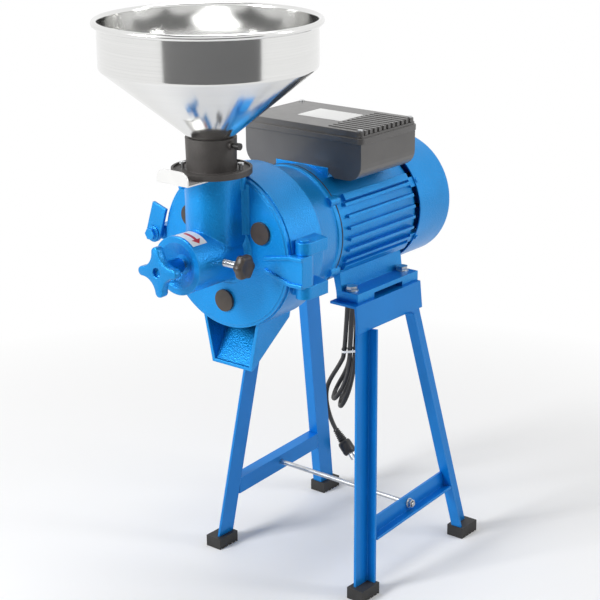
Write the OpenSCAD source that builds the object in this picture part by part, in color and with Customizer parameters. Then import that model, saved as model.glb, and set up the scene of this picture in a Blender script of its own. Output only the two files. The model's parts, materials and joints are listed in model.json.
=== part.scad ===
// Electric grain mill on two splayed angle-iron frames.
// The motor shaft lies along Y: the grinding head is at -Y, the fan at +Y.
// Origin: on the floor, under the middle of the machine. +X is the hinge side of the cover.

/* [Main sizes] */
// Height of the motor shaft over the floor
shaft_h = 570; // [560:1:600]
// Radius of the rolled hopper rim
rim_r = 160; // [150:1:180]
// Height of the hopper rim over the shaft
rim_h = 336.5; // [330:0.5:350]

/* [Grinding head] */
// Radius of the front cover
cover_r = 117.3; // [116:0.1:120]
// Thickness of the front cover
cover_t = 8; // [6:0.5:10]
// Radius of the housing drum at its mouth
drum_r = 119; // [118:0.5:122]
// Length of the housing drum
drum_l = 78; // [76:1:84]
// Wall of the housing drum
drum_wall = 6.5; // [5:0.5:8]
// Radius of the feed hub
hub_r = 42.5; // [41:0.5:44]
// Length of the feed hub in front of the cover
hub_l = 102; // [98:1:108]
// Bore of the feed hub
hub_bore_r = 35; // [34:0.5:36]
// Radius of the inlet tower
inlet_r = 39; // [38:0.5:41]
// Bore of the inlet tower
inlet_bore_r = 30; // [28:0.5:31]
// Distance of the inlet's axis in front of the cover
inlet_y = 25; // [24:0.5:28]
// Radius of both grinding discs
disc_r = 95; // [88:1:100]
// Thickness of a grinding disc
disc_t = 12; // [10:0.5:13]
// Widest gap between the grinding discs
disc_gap = 3.5; // [3.2:0.1:4]
// Radius of the round bolt heads on the cover
plug_r = 16.5; // [14:0.5:18]

/* [Hinge and clamp] */
// Distance of the hinge pin from the shaft
hinge_x = 130; // [129:0.5:134]
// Radius of the hinge knuckles
knuckle_r = 12.5; // [11.5:0.1:12.8]
// Radius of the hinge pin
pin_r = 5; // [4:0.5:6]
// Height of the cover's hinge knuckle
knuckle_h = 45; // [36:1:48]
// Distance of the clamp bolt from the shaft
clamp_x = 139; // [137:0.5:142]
// Length of the clamp plate from its bolt to its end
clamp_l = 47; // [42:1:52]
// Width of the clamp plate
clamp_w = 27; // [24:1:28]

/* [Hopper] */
// How far the rolled rim stands out past the hopper's wall
rim_out = 7.4; // [6:0.2:12]
// Height of the hopper's upright wall and rim
hopper_wall_h = 66.5; // [60:0.5:75]
// Thickness of the hopper's sheet
sheet_t = 1.2; // [1:0.1:1.6]
// Outer radius of the hopper's spout
spout_r = 30.4; // [29:0.1:31]
// Outer radius of the neck tube
neck_r = 36.5; // [36:0.1:38]
// Height of the neck over its seat
neck_h = 51.5; // [48:0.5:56]
// Radius of the neck's flange
flange_r = 57.5; // [55:0.5:60]
// Width of the gate plate
gate_w = 58; // [54:1:59]
// Thickness of the gate plate
gate_t = 2; // [1.6:0.1:2.4]

/* [Motor] */
// Radius over the motor's cooling fins
fin_r = 100; // [98:0.5:103]
// Height of the motor's cooling fins
fin_h = 12; // [8:0.5:16]
// Length of the motor body
body_l = 185; // [175:1:195]
// Distance between neighbouring fins
fin_pitch = 17.5; // [15:0.5:20]
// Thickness of a fin
fin_t = 4.5; // [3.5:0.5:6]
// Length of the bell between housing and motor
bell_l = 64; // [60:1:70]
// Radius of the fan cover
fan_cover_r = 99; // [97:0.5:102]
// Length of the fan cover
fan_cover_l = 86; // [80:1:95]
// Wall of the fan cover
fan_cover_wall = 2; // [1.5:0.1:2.5]
// Number of fan blades
blades = 9; // [7:1:12]
// Radius of the motor shaft in its bearings
shaft_r = 15; // [14:0.5:16]

/* [Terminal box] */
// Length of the terminal box across the motor
box_x = 222; // [210:1:230]
// Width of the terminal box along the motor
box_y = 137; // [130:1:145]
// Height of the box under its lid
box_h = 57; // [54:1:62]
// Height of the lid
lid_h = 20; // [16:1:24]
// Wall of box and lid
box_wall = 3; // [2.5:0.5:4]

/* [Stand] */
// Height of the rails that carry the motor
rail_z = 457; // [450:1:470]
// Length of a rail
rail_l = 169; // [165:1:180]
// Width of a rail's top flange
rail_w = 50; // [48:1:54]
// Height of a rail's outer flange
rail_h = 44; // [40:1:50]
// Thickness of the angle iron
iron_t = 4; // [3.5:0.5:5]
// Outward lean of both frames in degrees
lean = 5.7; // [4:0.1:8]
// Width of a leg
leg_w = 34; // [30:1:38]
// Width of a leg's turned-out flange
leg_flange = 14; // [10:1:18]
// Distance between the feet, left to right
stance_x = 291; // [285:1:300]
// Place of the front feet along the shaft
front_foot_y = -7; // [-12:1:0]
// Place of the rear feet along the shaft
rear_foot_y = 272; // [265:1:280]
// Height of the crossbars over the floor
bar_z = 104; // [90:1:140]
// Height of a crossbar's upright flange
bar_h = 29; // [26:1:34]
// Climb of the crossbars towards the back in degrees
bar_rise = 3.3; // [0:0.1:4]
// Radius of the tie rod
rod_r = 4; // [3:0.5:5]

/* [Cord] */
// Radius of the mains cord
cord_r = 4; // [3.5:0.5:4.5]

/* [Hidden] */
$fn = 64;

// Fits and overruns
run = 0.04;       // running clearance of a pin or shaft in its bore
gap = 0.3;        // clearance between pieces that pass each other
over = 1;         // overrun of a cut past a face
quarter = 90;
half_turn = 180;
full_turn = 360;

// Stations along the shaft, from the cover's front face to the fan cover's end
cover_front = -146;
cover_back = cover_front + cover_t;
drum_back = cover_back + drum_l;
body_y0 = drum_back + bell_l;
body_y1 = body_y0 + body_l;
hub_front = cover_front - hub_l;
inlet_axis_y = cover_front - inlet_y;

// Small sizes of cast and turned details
nose_seat = 4;
journal_step = 2;
fan_step = 3;
fan_disc_r = 62;
blade_t = 2.5;
auger_collar_l = 6;
auger_lead = 2;
dress_in = 8;
disc_skin = 2;
lug_slope = 10;
chute_sink = 6;
pin_lip = 3;
clamp_washer_h = 2;
clamp_hex_h = 6;
clamp_hex_r = 9.2;
seal_l = 10;
arm_in = 45;
arm_low = -20;
arm_high = 3;
arm_lap = 3;
step_w = 4;
step_d = 1.2;
tap_skin = 4;
neck_lead = 2;
neck_draft = 1;
boss_sink = 2;
boss_wall = 3;
screw_skin = 6;
pin_room = 2;
star_hollow = 4;
lock_scallop_share = 0.6;
lid_head_h = 2;
cap_tab_l = 6;
cap_tab_r = 1.5;
block_hole_r = 2.5;
gland_nut_l = 4;
gland_nut_in = 1;
gland_swell = 2;
cheek_t = 1.9;
cheek_l = 10;
rocker_pivot = 4;
rocker_back = 5;
rocker_tip = 7.5;
rocker_waist = 6;
rocker_pin_out = 2;
plug_neck_in = 1;
plug_neck_out = 3;

// Drum and its fillet
drum_taper = 2;
drum_fillet = 8;
back_plate_t = 6;
drum_in_r = drum_r - drum_wall;
back_bore_r = 26;

// Hub: the front wall is solid and carries the thrust pin and the lock screw
hub_wall_y = -186;
thrust_r = 6;
dish_r = 34;
dish_floor_r = 14;
dish_d = 12;

// Inlet tower and gate
seat_rise = 0.5;
inlet_top = drum_r + seat_rise;
inlet_floor = 12;
gate_slot_h = gate_t + gap;
gate_seat_z = inlet_top - gate_slot_h;
gate_front = -252;
gate_tab_h = 20;
gate_tab_r = 13;
screw_ring_r = 41.5;
screw_ring_a = 32;
screw_boss_r = 7;
screw_boss_h = 24;
small_screw_r = 2.5;

// Hinge
hinge_back = 12;
hinge_y = cover_back + hinge_back;
knuckle_z0 = -33;
lug_upper_h = 18;
lug_lower_h = 19;
lug_gap = gap;
lug_back_y = -88;
lug_in_x = 100;

// Clamp: stored turned just clear of the cover's edge
clamp_z = 2;
clamp_t = 5;
clamp_park = 72;
clamp_bolt_r = 5;
clamp_boss_r = 11;
clamp_slack = 0.5;
clamp_front = cover_front - clamp_slack;
ear_h = 24;

// Chute under the drum, as half widths and heights below the shaft
chute_wall = 5;
chute_top_x = 55;
chute_mid_x = 45;
chute_low_x = 38;
chute_mid_z = -147;
chute_low_z = -182;
chute_lip = 4;
chute_back_y = -66;
chute_join_z = -100;

// Discs, carrier and auger
disc_hole_r = 34.5;
fixed_back = cover_back + disc_t;
moving_front = fixed_back + disc_gap;
moving_back = moving_front + disc_t;
groove_w = 5;
groove_d = 2;
grooves = 16;
groove_skew = 18;
moving_hole_r = 28;
carrier_r = 88;
carrier_t = 12;
carrier_hub_r = 20;
carrier_hub_l = 12;
shaft_nose_r = 10;
shaft_mid_r = 12.5;
nose_in = 14;
spring_room = 14;
shaft_nose_y = moving_back - nose_in;
shoulder_y = moving_back + carrier_t + carrier_hub_l + spring_room;
auger_core_r = 14;
auger_tip_y = -178;
auger_flight_r = 27;
auger_taper = 0.74;
auger_turn = 400;
auger_slices = 24;
flight_t = 5;
spring_wire_r = 1.5;
spring_turns = 3;
spring_sides = 8;
spring_steps = 14;

// Disc bolts on the cover
plug_ring_r = 77;
plug_angles = [28, 148, 268];
plug_h = 4;
plug_shank_r = 4;

// Star handle
star_y0 = -289.5;
star_t = 11;
star_reach = 36;
star_lobe_r = 7;
star_waist_r = 15;
star_shank_r = 11;
star_shank_end = -252;
star_hole_r = 7.5;
star_hole_d = 6;
star_tilt = 8;

// Lock knob
lock_y = -195;
lock_stud_r = 5.5;
lock_knob_x = 70;
lock_knob_t = 15;
lock_knob_r = 19;
lock_lobes = 6;
lock_scallop_r = 7;
lock_dimple_r = 6;
lock_dimple_d = 2;

// Hopper and neck, heights over the shaft
neck_seat = inlet_top;
flange_t = 5.5;
lip_w = 3.5;
lip_h = 2.5;
neck_bore_r = 32;
neck_top = neck_seat + neck_h;
cone_drop = 1;
spout_l = 41;
thumb_drop = 8;
cone_start = neck_top - cone_drop;
spout_end = neck_top - spout_l;
hopper_r = rim_r - rim_out;
rim_roll_r = 4.5;
thumb_z = neck_top - thumb_drop;
thumb_r = 3;
thumb_head_r = 5;
thumb_head_x = 46;
thumb_head_l = 8;
thumb_boss_x = 41;
neck_head_r = 4.5;
neck_head_h = 3;
neck_proud = 6;

// Motor inside
body_r = fin_r - fin_h;
frame_wall = 12;
stator_depth = 28;
stator_r = body_r - frame_wall;
stator_bore_r = stator_r - stator_depth;
fins_low = 3;
fins_high = 3;
fin_offset_share = 0.4;
winding_in = 3;
web_t = 8;
flange_in = 60;
bell_over = 4;
bell_flange = 10;
bolt_ring_in = 24;
housing_bolt_ring = fin_r - bolt_ring_in;
housing_bolt_r = 4;
cover_screw_a = 28;
cover_screw_r = 2;
cover_edge = 7;
ear_w = 16;
ear_l = 24;
grille_in = 22;
grille_r = fan_cover_r - grille_in;
slot_w = 6;
slot_pitch = 13;
slots_half = 5;
stator_back = 46;
stator_y0 = body_y0 + stator_back;
stator_l = 90;
winding_l = 24;
winding_t = 20;
air_gap = 0.5;
bearing_r = 31;
bearing_w = 16;
seat_wall = 7;
seat_r = bearing_r + seat_wall;
race_t = 3.5;
ball_r = 5.2;
balls = 8;
front_bearing_in = 20;
rear_bearing_in = 4;
fan_back = 33;
fan_in = 15;
front_bearing_y = body_y0 - front_bearing_in;
rear_bearing_y = body_y1 - rear_bearing_in;
fan_y = body_y1 + fan_back;
fan_r = fan_cover_r - fan_in;
fan_w = 26;
fan_hub_r = 16;
fan_shaft_r = 8;
fan_end_l = 6;
fan_cover_back = 14.5;
shaft_rear_y = fan_y + fan_w + fan_end_l;
fan_cover_y0 = body_y1 + fan_cover_back;
fan_cover_y1 = fan_cover_y0 + fan_cover_l;
cover_screw_in = 5;
cover_screw_y = fan_cover_y0 + cover_screw_in;
rim_l = 10;
rim_lift = 2;
fin_back = 19;
fin_y0 = body_y0 + fin_back;
lug_r = 8;
lug_in = 5;
lug_ring = fin_r - lug_in;
lug_l = 8;
shield_lug_l = 12;
lug_a = 34;
ridge_w = 11;
bolt_r = 3;
hex_r = 6;
hex_h = 5;
rear_bolt_in = 6;
rear_bolt_ring = body_r - rear_bolt_in;
rear_bolt_a = 60;
rear_bolt_l = 16;
rear_flange_t = 10;
pad_half = 50;
pad_in = 5.5;
pad_back = 26;
pad_top = fin_r - pad_in;
pad_y0 = body_y0 + pad_back;
pad_l = 120;
wire_hole_r = 12;

// Motor feet
foot_in = 57;
foot_out = 98;
foot_t = 15;
foot_y0 = 42;
foot_l = 158;
foot_web_t = 10;
foot_web_top = -58;
foot_pocket_l = 74;
foot_pocket_h = 8;
foot_z = rail_z - shaft_h;
foot_bolt_x = 77;
foot_bolt_y = 66;
foot_mid_y = foot_y0 + foot_l / 2;
foot_bolt_r = 5;
foot_hole_r = 5.5;

// Terminal box, heights over the shaft
box_y0 = 31;
lid_over = 3.7;
box_sink = 20;
box_floor = fin_r - box_sink;
lid_z = box_floor + box_h;
box_top = lid_z + lid_h;
box_corner = 10;
box_low_corner = 25;
saddle_gap = 1;
saddle_r = fin_r + saddle_gap;
lid_ribs = 11;
rib_w = 5;
rib_h = 1.2;
box_post_r = 6;
post_l = 22;
lid_inset = 10;
switch_cut = 25;
block_l = 50;
block_w = 22;
block_h = 14;
block_y = 86;
cap_r = 16;
cap_side = 7.5;
cap_rise = 20.6;
cap_x = box_x / 2 - cap_r - cap_side;
cap_z = box_floor + cap_rise;
cap_l = 88;
cap_y = 8;
lid_screw_r = 2;
lid_head_r = 4;
gland_x = -80;
gland_rise = 40;
gland_z = box_floor + gland_rise;
gland_hex_r = 12;
gland_hex_l = 6;
gland_tip_r = 7;
gland_l = 28;
switch_x = 50;
switch_rise = 32;
switch_z = box_floor + switch_rise;
rocker_r = 9;
rocker_w = 20;
rocker_rest = 9;
bezel_w = 32;
bezel_h = 27;
bezel_t = 2.5;
rocker_pin_r = 1.5;

// Stand
frame_x = stance_x / 2;
front_top_y = 55;
rear_top_y = 170;
rail_y0 = 30;
leg_end = 3;
shoe_x = 30;
shoe_y = 44;
shoe_h = 19;
shoe_out = 16.5;
tread_w = 3.5;
tread_d = 2;
treads = 5;

// Shift along the shaft that puts the origin under the middle of the machine
centre_y = (rim_r - inlet_axis_y - rear_foot_y - shoe_y / 2) / 2;

// Stand, continued
bar_lip = 14;
rod_y = 131;
rod_z = bar_z;
rod_up = rod_z / cos(lean);
washer_t = 1.5;
nut_h = 6;
nut_r = 7;
bolt_head_r = 9;
bolt_head_h = 6;
nut_slack = 0.8;

// Mains cord: hand-placed points down to the hank, then two folded loops held by a tie
lead_route = [[-80, 196, 690], [-80, 208, 690], [-80, 222, 689], [-81, 236, 684], [-83, 250, 675],
    [-85, 263, 662], [-88, 275, 646], [-91, 285, 627], [-94, 293, 605], [-97, 299, 580],
    [-99, 303, 553], [-100, 306, 523], [-100, 308, 493], [-99, 309, 463], [-98, 310, 433],
    [-97, 310, 403], [-97, 309.5, 379], [-97, 309.5, 373]];
hank_start = [[-97, 309.5, 373], [-97, 309.5, 367]];
hank_end = [[-124, 298, 259], [-125, 298, 253]];
tail_route = [[-125, 298, 253], [-126, 298, 247], [-131.5, 298, 236], [-140, 298, 222], [-149, 298, 208],
    [-157, 298, 194], [-162.5, 298, 179], [-164, 298, 163], [-162, 298, 147], [-157.5, 298, 132],
    [-150.5, 298, 117], [-142, 298, 104]];
cord_sides = 10;
hank_sides = 8;
hank_turn = 38.4;
hank_top = [-110, 303, 345];
hank_tie = [-115, 303, 261];
loop_low = [[-124.5, 303, 177.5], [-136.5, 303, 188]];
loop_slope = [[-0.48, 0, -0.87], [-0.58, 0, -0.81]];
loop_reach = 36;
fold_r = 24.5;
strand_gap = 9.4;
strand_half = 4.4;
down_shares = [0.2, 0.4, 0.6, 0.8];
up_shares = [0.8, 0.6, 0.4, 0.2];
fold_step = 36;
tie_h = 5;
tie_t = 1.6;
tie_slack = 1.7;
plug_end = [-99, 298, 57];
plug_neck_l = 24;
plug_body_l = 26;
plug_body_r = 12;
prong_r = 2.4;
prong_l = 12;
prong_gap = 9.5;

// Colours as the photograph shows them
blue = [0.04, 0.47, 0.82];
steel = [0.78, 0.79, 0.8];
dark = [0.27, 0.26, 0.25];
black = [0.1, 0.1, 0.1];
brown = [0.28, 0.24, 0.2];
copper = [0.72, 0.42, 0.2];

// Shape helpers
module centred() { translate([0, centre_y, 0]) children(); }
module on_shaft() { translate([0, centre_y, shaft_h]) children(); }
module both_sides() { children(); mirror([1, 0, 0]) children(); }
module side_of(side) { mirror([side < 0 ? 1 : 0, 0, 0]) children(); }
// Cylinders along the three axes, from a start point
module rod_x(p, l, r) { translate(p) rotate([0, quarter, 0]) cylinder(h = l, r = r); }
module rod_y(p, l, r) { translate(p) rotate([-quarter, 0, 0]) cylinder(h = l, r = r); }
module rod_z(p, l, r) { translate(p) cylinder(h = l, r = r); }
module hex_y(p, l, r) { translate(p) rotate([-quarter, 0, 0]) cylinder(h = l, r = r, $fn = 6); }
// Revolved outline about the shaft, its points as [radius, y]
module turned_y(pts) { rotate([-quarter, 0, 0]) rotate_extrude() polygon(pts); }
// Outline in XZ, drawn out along Y from y0
module slab_y(y0, l) { translate([0, y0 + l, 0]) rotate([quarter, 0, 0]) linear_extrude(l) children(); }
// Outline in YZ, drawn out along X from x0
module slab_x(x0, l) { translate([x0, 0, 0]) rotate([quarter, 0, quarter]) linear_extrude(l) children(); }
function polar(r, a) = [r * cos(a), r * sin(a)];
module ring_of(n) { for (i = [0 : n - 1]) rotate([0, i * full_turn / n, 0]) children(); }

// A swept tube along a list of points
function tangent(p, i) = let (a = p[max(i - 1, 0)], b = p[min(i + 1, len(p) - 1)]) (b - a) / norm(b - a);
function side_dir(t) = let (u = abs(t[1]) < 0.9 ? [0, 1, 0] : [1, 0, 0], s = cross(t, u)) s / norm(s);
function tube_ring(p, i, r, n) = let (t = tangent(p, i), u = side_dir(t), v = cross(t, u))
    [for (k = [0 : n - 1]) p[i] + r * (cos(k * full_turn / n) * u + sin(k * full_turn / n) * v)];
module tube(p, r, n) {
    m = len(p);
    points = [for (i = [0 : m - 1]) each tube_ring(p, i, r, n)];
    sides = [for (i = [0 : m - 2], k = [0 : n - 1])
        [i * n + k, i * n + (k + 1) % n, (i + 1) * n + (k + 1) % n, (i + 1) * n + k]];
    ends = [[for (k = [0 : n - 1]) n - 1 - k], [for (k = [0 : n - 1]) (m - 1) * n + k]];
    polyhedron(points, concat(sides, ends), convexity = 10);
}

// Stand: a plane that leans outward carries legs and crossbar, local x = 0 is the webs' outer face
module in_frame(side) {
    side_of(side) translate([frame_x, 0, 0]) rotate([0, -lean, 0]) children();
}
rail_up = rail_z / cos(lean);
function strip(y_low, y_high, z_low, z_high, w0, w1) =
    [[y_low + w0, z_low], [y_low + w1, z_low], [y_high + w1, z_high], [y_high + w0, z_high]];

module rail(side) {
    color(blue) centred() difference() {
        union() {
            in_frame(side) translate([0, rail_y0, rail_up - rail_h]) cube([iron_t, rail_l, rail_h + over]);
            side_of(side) translate([frame_x - rail_z * tan(lean) + iron_t - rail_w, rail_y0, rail_z - iron_t])
                cube([rail_w, rail_l, iron_t]);
        }
        side_of(side) translate([0, rail_y0 - over, rail_z]) cube([stance_x, rail_l + 2 * over, rail_h]);
        for (s = [-1, 1]) side_of(side)
            rod_z([foot_bolt_x, foot_mid_y + s * foot_bolt_y, rail_z - iron_t - over], iron_t + 2 * over, foot_hole_r);
    }
}

// One leg: a web in the frame's plane and a flange turned outward along its inner edge
module leg(side, foot_y, top_y, inner) {
    top = rail_up - iron_t - over;
    w = leg_w / 2;
    in_frame(side) {
        slab_x(-iron_t, iron_t) polygon(strip(foot_y, top_y, leg_end, top, -w, w));
        slab_x(-over / 2, leg_flange + over / 2) intersection() {
            polygon(strip(foot_y, top_y, leg_end, top, inner > 0 ? w - iron_t : -w, inner > 0 ? w : iron_t - w));
            translate([foot_y - stance_x, 0]) square([2 * stance_x, rail_up - rail_h - gap]);
        }
    }
}
module left_front_leg() { color(blue) centred() leg(-1, front_foot_y, front_top_y, 1); }
module left_rear_leg() { color(blue) centred() leg(-1, rear_foot_y, rear_top_y, -1); }
module right_front_leg() { color(blue) centred() leg(1, front_foot_y, front_top_y, 1); }
module right_rear_leg() { color(blue) centred() leg(1, rear_foot_y, rear_top_y, -1); }

function leg_y(foot_y, top_y, z) = foot_y + (top_y - foot_y) * z / rail_z;
module crossbar(side) {
    y0 = leg_y(front_foot_y, front_top_y, bar_z) + leg_w / 2;
    y1 = leg_y(rear_foot_y, rear_top_y, bar_z) - leg_w / 2;
    run_l = y1 - y0;
    climb = run_l * tan(bar_rise) / 2;
    low = bar_z - bar_h / 2;
    lip_z = side > 0 ? 0 : bar_h - iron_t;
    color(blue) centred() difference() {
        in_frame(side) difference() {
            union() {
                slab_x(-iron_t, iron_t) polygon([[y0, low - climb], [y1, low + climb],
                    [y1, low + climb + bar_h], [y0, low - climb + bar_h]]);
                slab_x(-over / 2, bar_lip + over / 2) polygon([[y0, low - climb + lip_z], [y1, low + climb + lip_z],
                    [y1, low + climb + lip_z + iron_t], [y0, low - climb + lip_z + iron_t]]);
            }
            leg_trim(front_foot_y, front_top_y, -1);
            leg_trim(rear_foot_y, rear_top_y, 1);
        }
        rod_x([-stance_x, rod_y, rod_z], 2 * stance_x, rod_r + gap);
    }
}
// The space past a leg's inner edge, cut off a crossbar's end
module leg_trim(foot_y, top_y, way) {
    slab_x(-stance_x / 2, stance_x) polygon([for (p = [[0, 0], [0, rail_z], [way * stance_x, rail_z], [way * stance_x, 0]])
        [leg_y(foot_y, top_y, p[1]) - way * leg_w / 2 + p[0], p[1]]]);
}

module shoe(side, foot_y) {
    difference() {
        side_of(side) translate([frame_x + shoe_out - shoe_x, foot_y - shoe_y / 2, 0]) cube([shoe_x, shoe_y, shoe_h]);
        for (i = [0 : treads - 1]) side_of(side)
            translate([0, foot_y - shoe_y / 2 + (i + 0.5) * shoe_y / treads - tread_w / 2, -over])
                cube([stance_x, tread_w, tread_d + over]);
        if (foot_y < rod_y) leg(side, front_foot_y, front_top_y, 1);
        else leg(side, rear_foot_y, rear_top_y, -1);
    }
}
module rubber_feet() { color(black) centred() for (s = [-1, 1], y = [front_foot_y, rear_foot_y]) shoe(s, y); }

rod_end = frame_x - rod_z * tan(lean) + washer_t + nut_h + 2 * over;
module tie_rod() { color(steel) centred() rod_x([-rod_end, rod_y, rod_z], 2 * rod_end, rod_r); }
module tie_rod_nuts() {
    color(steel) centred() for (s = [-1, 1]) difference() {
        in_frame(s) {
            rod_x([0, rod_y, rod_up], washer_t, nut_r + over);
            translate([washer_t, rod_y, rod_up]) rotate([0, quarter, 0]) cylinder(h = nut_h, r = nut_r, $fn = 6);
        }
        rod_x([-stance_x, rod_y, rod_z], 2 * stance_x, rod_r + nut_slack);
    }
}

module foot_bolts() {
    z = foot_z + foot_t;
    color(steel) on_shaft() both_sides() for (s = [-1, 1]) translate([foot_bolt_x, foot_mid_y + s * foot_bolt_y, 0]) {
        rod_z([0, 0, z], washer_t, bolt_head_r + over);
        translate([0, 0, z + washer_t]) cylinder(h = bolt_head_h, r = bolt_head_r, $fn = 6);
        rod_z([0, 0, foot_z - iron_t - nut_h - 2 * over], foot_t + iron_t + nut_h + 3 * over, foot_bolt_r);
        difference() {
            translate([0, 0, foot_z - iron_t - nut_h]) cylinder(h = nut_h, r = bolt_head_r, $fn = 6);
            rod_z([0, 0, foot_z - iron_t - nut_h - over], nut_h + 2 * over, foot_bolt_r + run);
        }
    }
}

// Motor: fins stand out level on both flanks, cut to one round envelope
module fin_outline() {
    intersection() {
        circle(r = fin_r);
        for (i = [-fins_low : fins_high]) translate([-fin_r, (i - fin_offset_share) * fin_pitch - fin_t / 2]) square([2 * fin_r, fin_t]);
    }
}
// The thick ridges behind the corner bolts
module ridge_outline() {
    intersection() {
        circle(r = fin_r);
        for (a = [lug_a, -lug_a, half_turn - lug_a, half_turn + lug_a]) rotate(a)
            translate([stator_r + over, -ridge_w / 2]) square([fin_r, ridge_w]);
    }
}
module at_corners(a) { for (m = [0, 1], t = [a, -a]) mirror([m, 0, 0]) rotate([0, -t, 0]) children(); }
module foot_side() {
    translate([0, foot_y0, 0]) difference() {
        union() {
            translate([foot_in, 0, foot_z]) cube([foot_out - foot_in, foot_l, foot_t]);
            slab_y(0, foot_l) polygon([[foot_in - over, foot_z + foot_t], [foot_in - foot_web_t, foot_web_top],
                [foot_in + foot_web_t / 2, foot_web_top], [foot_in + foot_web_t, foot_z + foot_t],
                [foot_in + foot_web_t, foot_z + foot_t / 2], [foot_in, foot_z + foot_t / 2]]);
        }
        translate([foot_in + foot_web_t, (foot_l - foot_pocket_l) / 2, foot_z - over])
            cube([foot_out, foot_pocket_l, foot_pocket_h + over]);
        for (s = [-1, 1]) rod_z([foot_bolt_x, foot_l / 2 + s * foot_bolt_y, foot_z - over], foot_t + 2 * over, foot_hole_r);
    }
}
module motor_housing() {
    color(blue) on_shaft() difference() {
        union() {
            rod_y([0, body_y0, 0], body_l, body_r);
            slab_y(fin_y0, body_y1 - fin_y0) fin_outline();
            slab_y(fin_y0 + hex_h, body_y1 - fin_y0 - hex_h) ridge_outline();
            at_corners(lug_a) rod_y([lug_ring, body_y0, 0], lug_l, lug_r);
            translate([-pad_half, pad_y0, 0]) cube([2 * pad_half, pad_l, pad_top]);
            both_sides() foot_side();
        }
        rod_y([0, body_y0 - over, 0], body_l + 2 * over, stator_r);
        at_corners(lug_a) rod_y([lug_ring, body_y0 - over, 0], lug_l + 2 * over, bolt_r + gap);
        at_corners(rear_bolt_a) rod_y([rear_bolt_ring, body_y1 - rear_bolt_l, 0], rear_bolt_l + over, bolt_r);
        rod_z([0, pad_y0 + pad_l / 2, 0], pad_top + over, wire_hole_r);
        rod_y([0, body_y1, 0], foot_l, body_r + gap);
    }
}
module stator_core() {
    color(steel) on_shaft() difference() {
        rod_y([0, stator_y0, 0], stator_l, stator_r);
        rod_y([0, stator_y0 - over, 0], stator_l + 2 * over, stator_bore_r);
    }
}
module winding_end(y) {
    translate([0, y, 0]) rotate([-quarter, 0, 0]) rotate_extrude()
        translate([stator_bore_r + winding_in, 0]) square([winding_t, winding_l]);
}
module stator_windings() {
    color(copper) on_shaft() {
        winding_end(stator_y0 - winding_l);
        winding_end(stator_y0 + stator_l);
    }
}
// Bell between the drum and the motor, with the front bearing's seat
module front_end_shield() {
    web_y = front_bearing_y - web_t;
    bell_r = fin_r + bell_over;
    rim_r1 = fin_r - rim_lift;
    color(blue) on_shaft() difference() {
        union() {
            turned_y([[flange_in, drum_back], [bell_r, drum_back], [bell_r, drum_back + bell_flange],
                [rim_r1 - rim_lift, body_y0 - rim_l], [rim_r1, body_y0 - rim_l + rim_lift], [rim_r1, body_y0],
                [body_r, body_y0], [body_r, front_bearing_y], [seat_r, front_bearing_y],
                [seat_r, front_bearing_y + bearing_w], [bearing_r, front_bearing_y + bearing_w],
                [bearing_r, front_bearing_y], [bearing_r - race_t, front_bearing_y], [bearing_r - race_t, web_y],
                [body_r, web_y], [bell_r - web_t, drum_back + bell_flange], [flange_in, drum_back + bell_flange]]);
            at_corners(lug_a) rod_y([lug_ring, body_y0 - shield_lug_l, 0], shield_lug_l, lug_r);
        }
        at_corners(lug_a) rod_y([lug_ring, body_y0 - shield_lug_l, 0], shield_lug_l + over, bolt_r);
        at_housing_bolts() rod_y([0, drum_back - over, 0], bell_flange + 2 * over, housing_bolt_r + gap);
    }
}
module at_housing_bolts() { for (a = [quarter / 2 : quarter : full_turn]) rotate([0, a, 0]) translate([housing_bolt_ring, 0, 0]) children(); }
module rear_end_shield() {
    back = rear_bearing_y + bearing_w;
    color(blue) on_shaft() difference() {
        union() {
            turned_y([[bearing_r, rear_bearing_y], [seat_r, rear_bearing_y], [seat_r, body_y1], [body_r, body_y1],
                [body_r, body_y1 + rear_flange_t], [rear_bolt_ring - 2 * hex_r, body_y1 + rear_flange_t], [seat_r, back + race_t], [shaft_r + rim_lift, back + race_t],
                [shaft_r + rim_lift, back], [bearing_r, back]]);
            at_corners(cover_screw_a) translate([body_r - rear_flange_t, body_y1 + rim_lift, -ear_w / 2])
                cube([fan_cover_r - fan_cover_wall - gap - body_r + rear_flange_t, ear_l, ear_w]);
        }
        at_corners(cover_screw_a) rod_x([body_r - ear_w, cover_screw_y, 0], fin_r, cover_screw_r);
        at_corners(rear_bolt_a) rod_y([rear_bolt_ring, body_y1 - over, 0], rear_flange_t + 2 * over, bolt_r + gap);
    }
}
// A ball bearing: two races and a ring of balls
module ball_bearing(y) {
    mid = (bearing_r + shaft_r) / 2;
    difference() { rod_y([0, y, 0], bearing_w, bearing_r); rod_y([0, y - over, 0], bearing_w + 2 * over, bearing_r - race_t); }
    difference() {
        rod_y([0, y, 0], bearing_w, shaft_r + race_t);
        rod_y([0, y - over, 0], bearing_w + 2 * over, shaft_r + run);
    }
    ring_of(balls) translate([mid, y + bearing_w / 2, 0]) sphere(r = min(ball_r, (bearing_r - shaft_r - 2 * race_t) / 2 - run));
}
module front_bearing() { color(steel) on_shaft() ball_bearing(front_bearing_y); }
module rear_bearing() { color(steel) on_shaft() ball_bearing(rear_bearing_y); }

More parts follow.
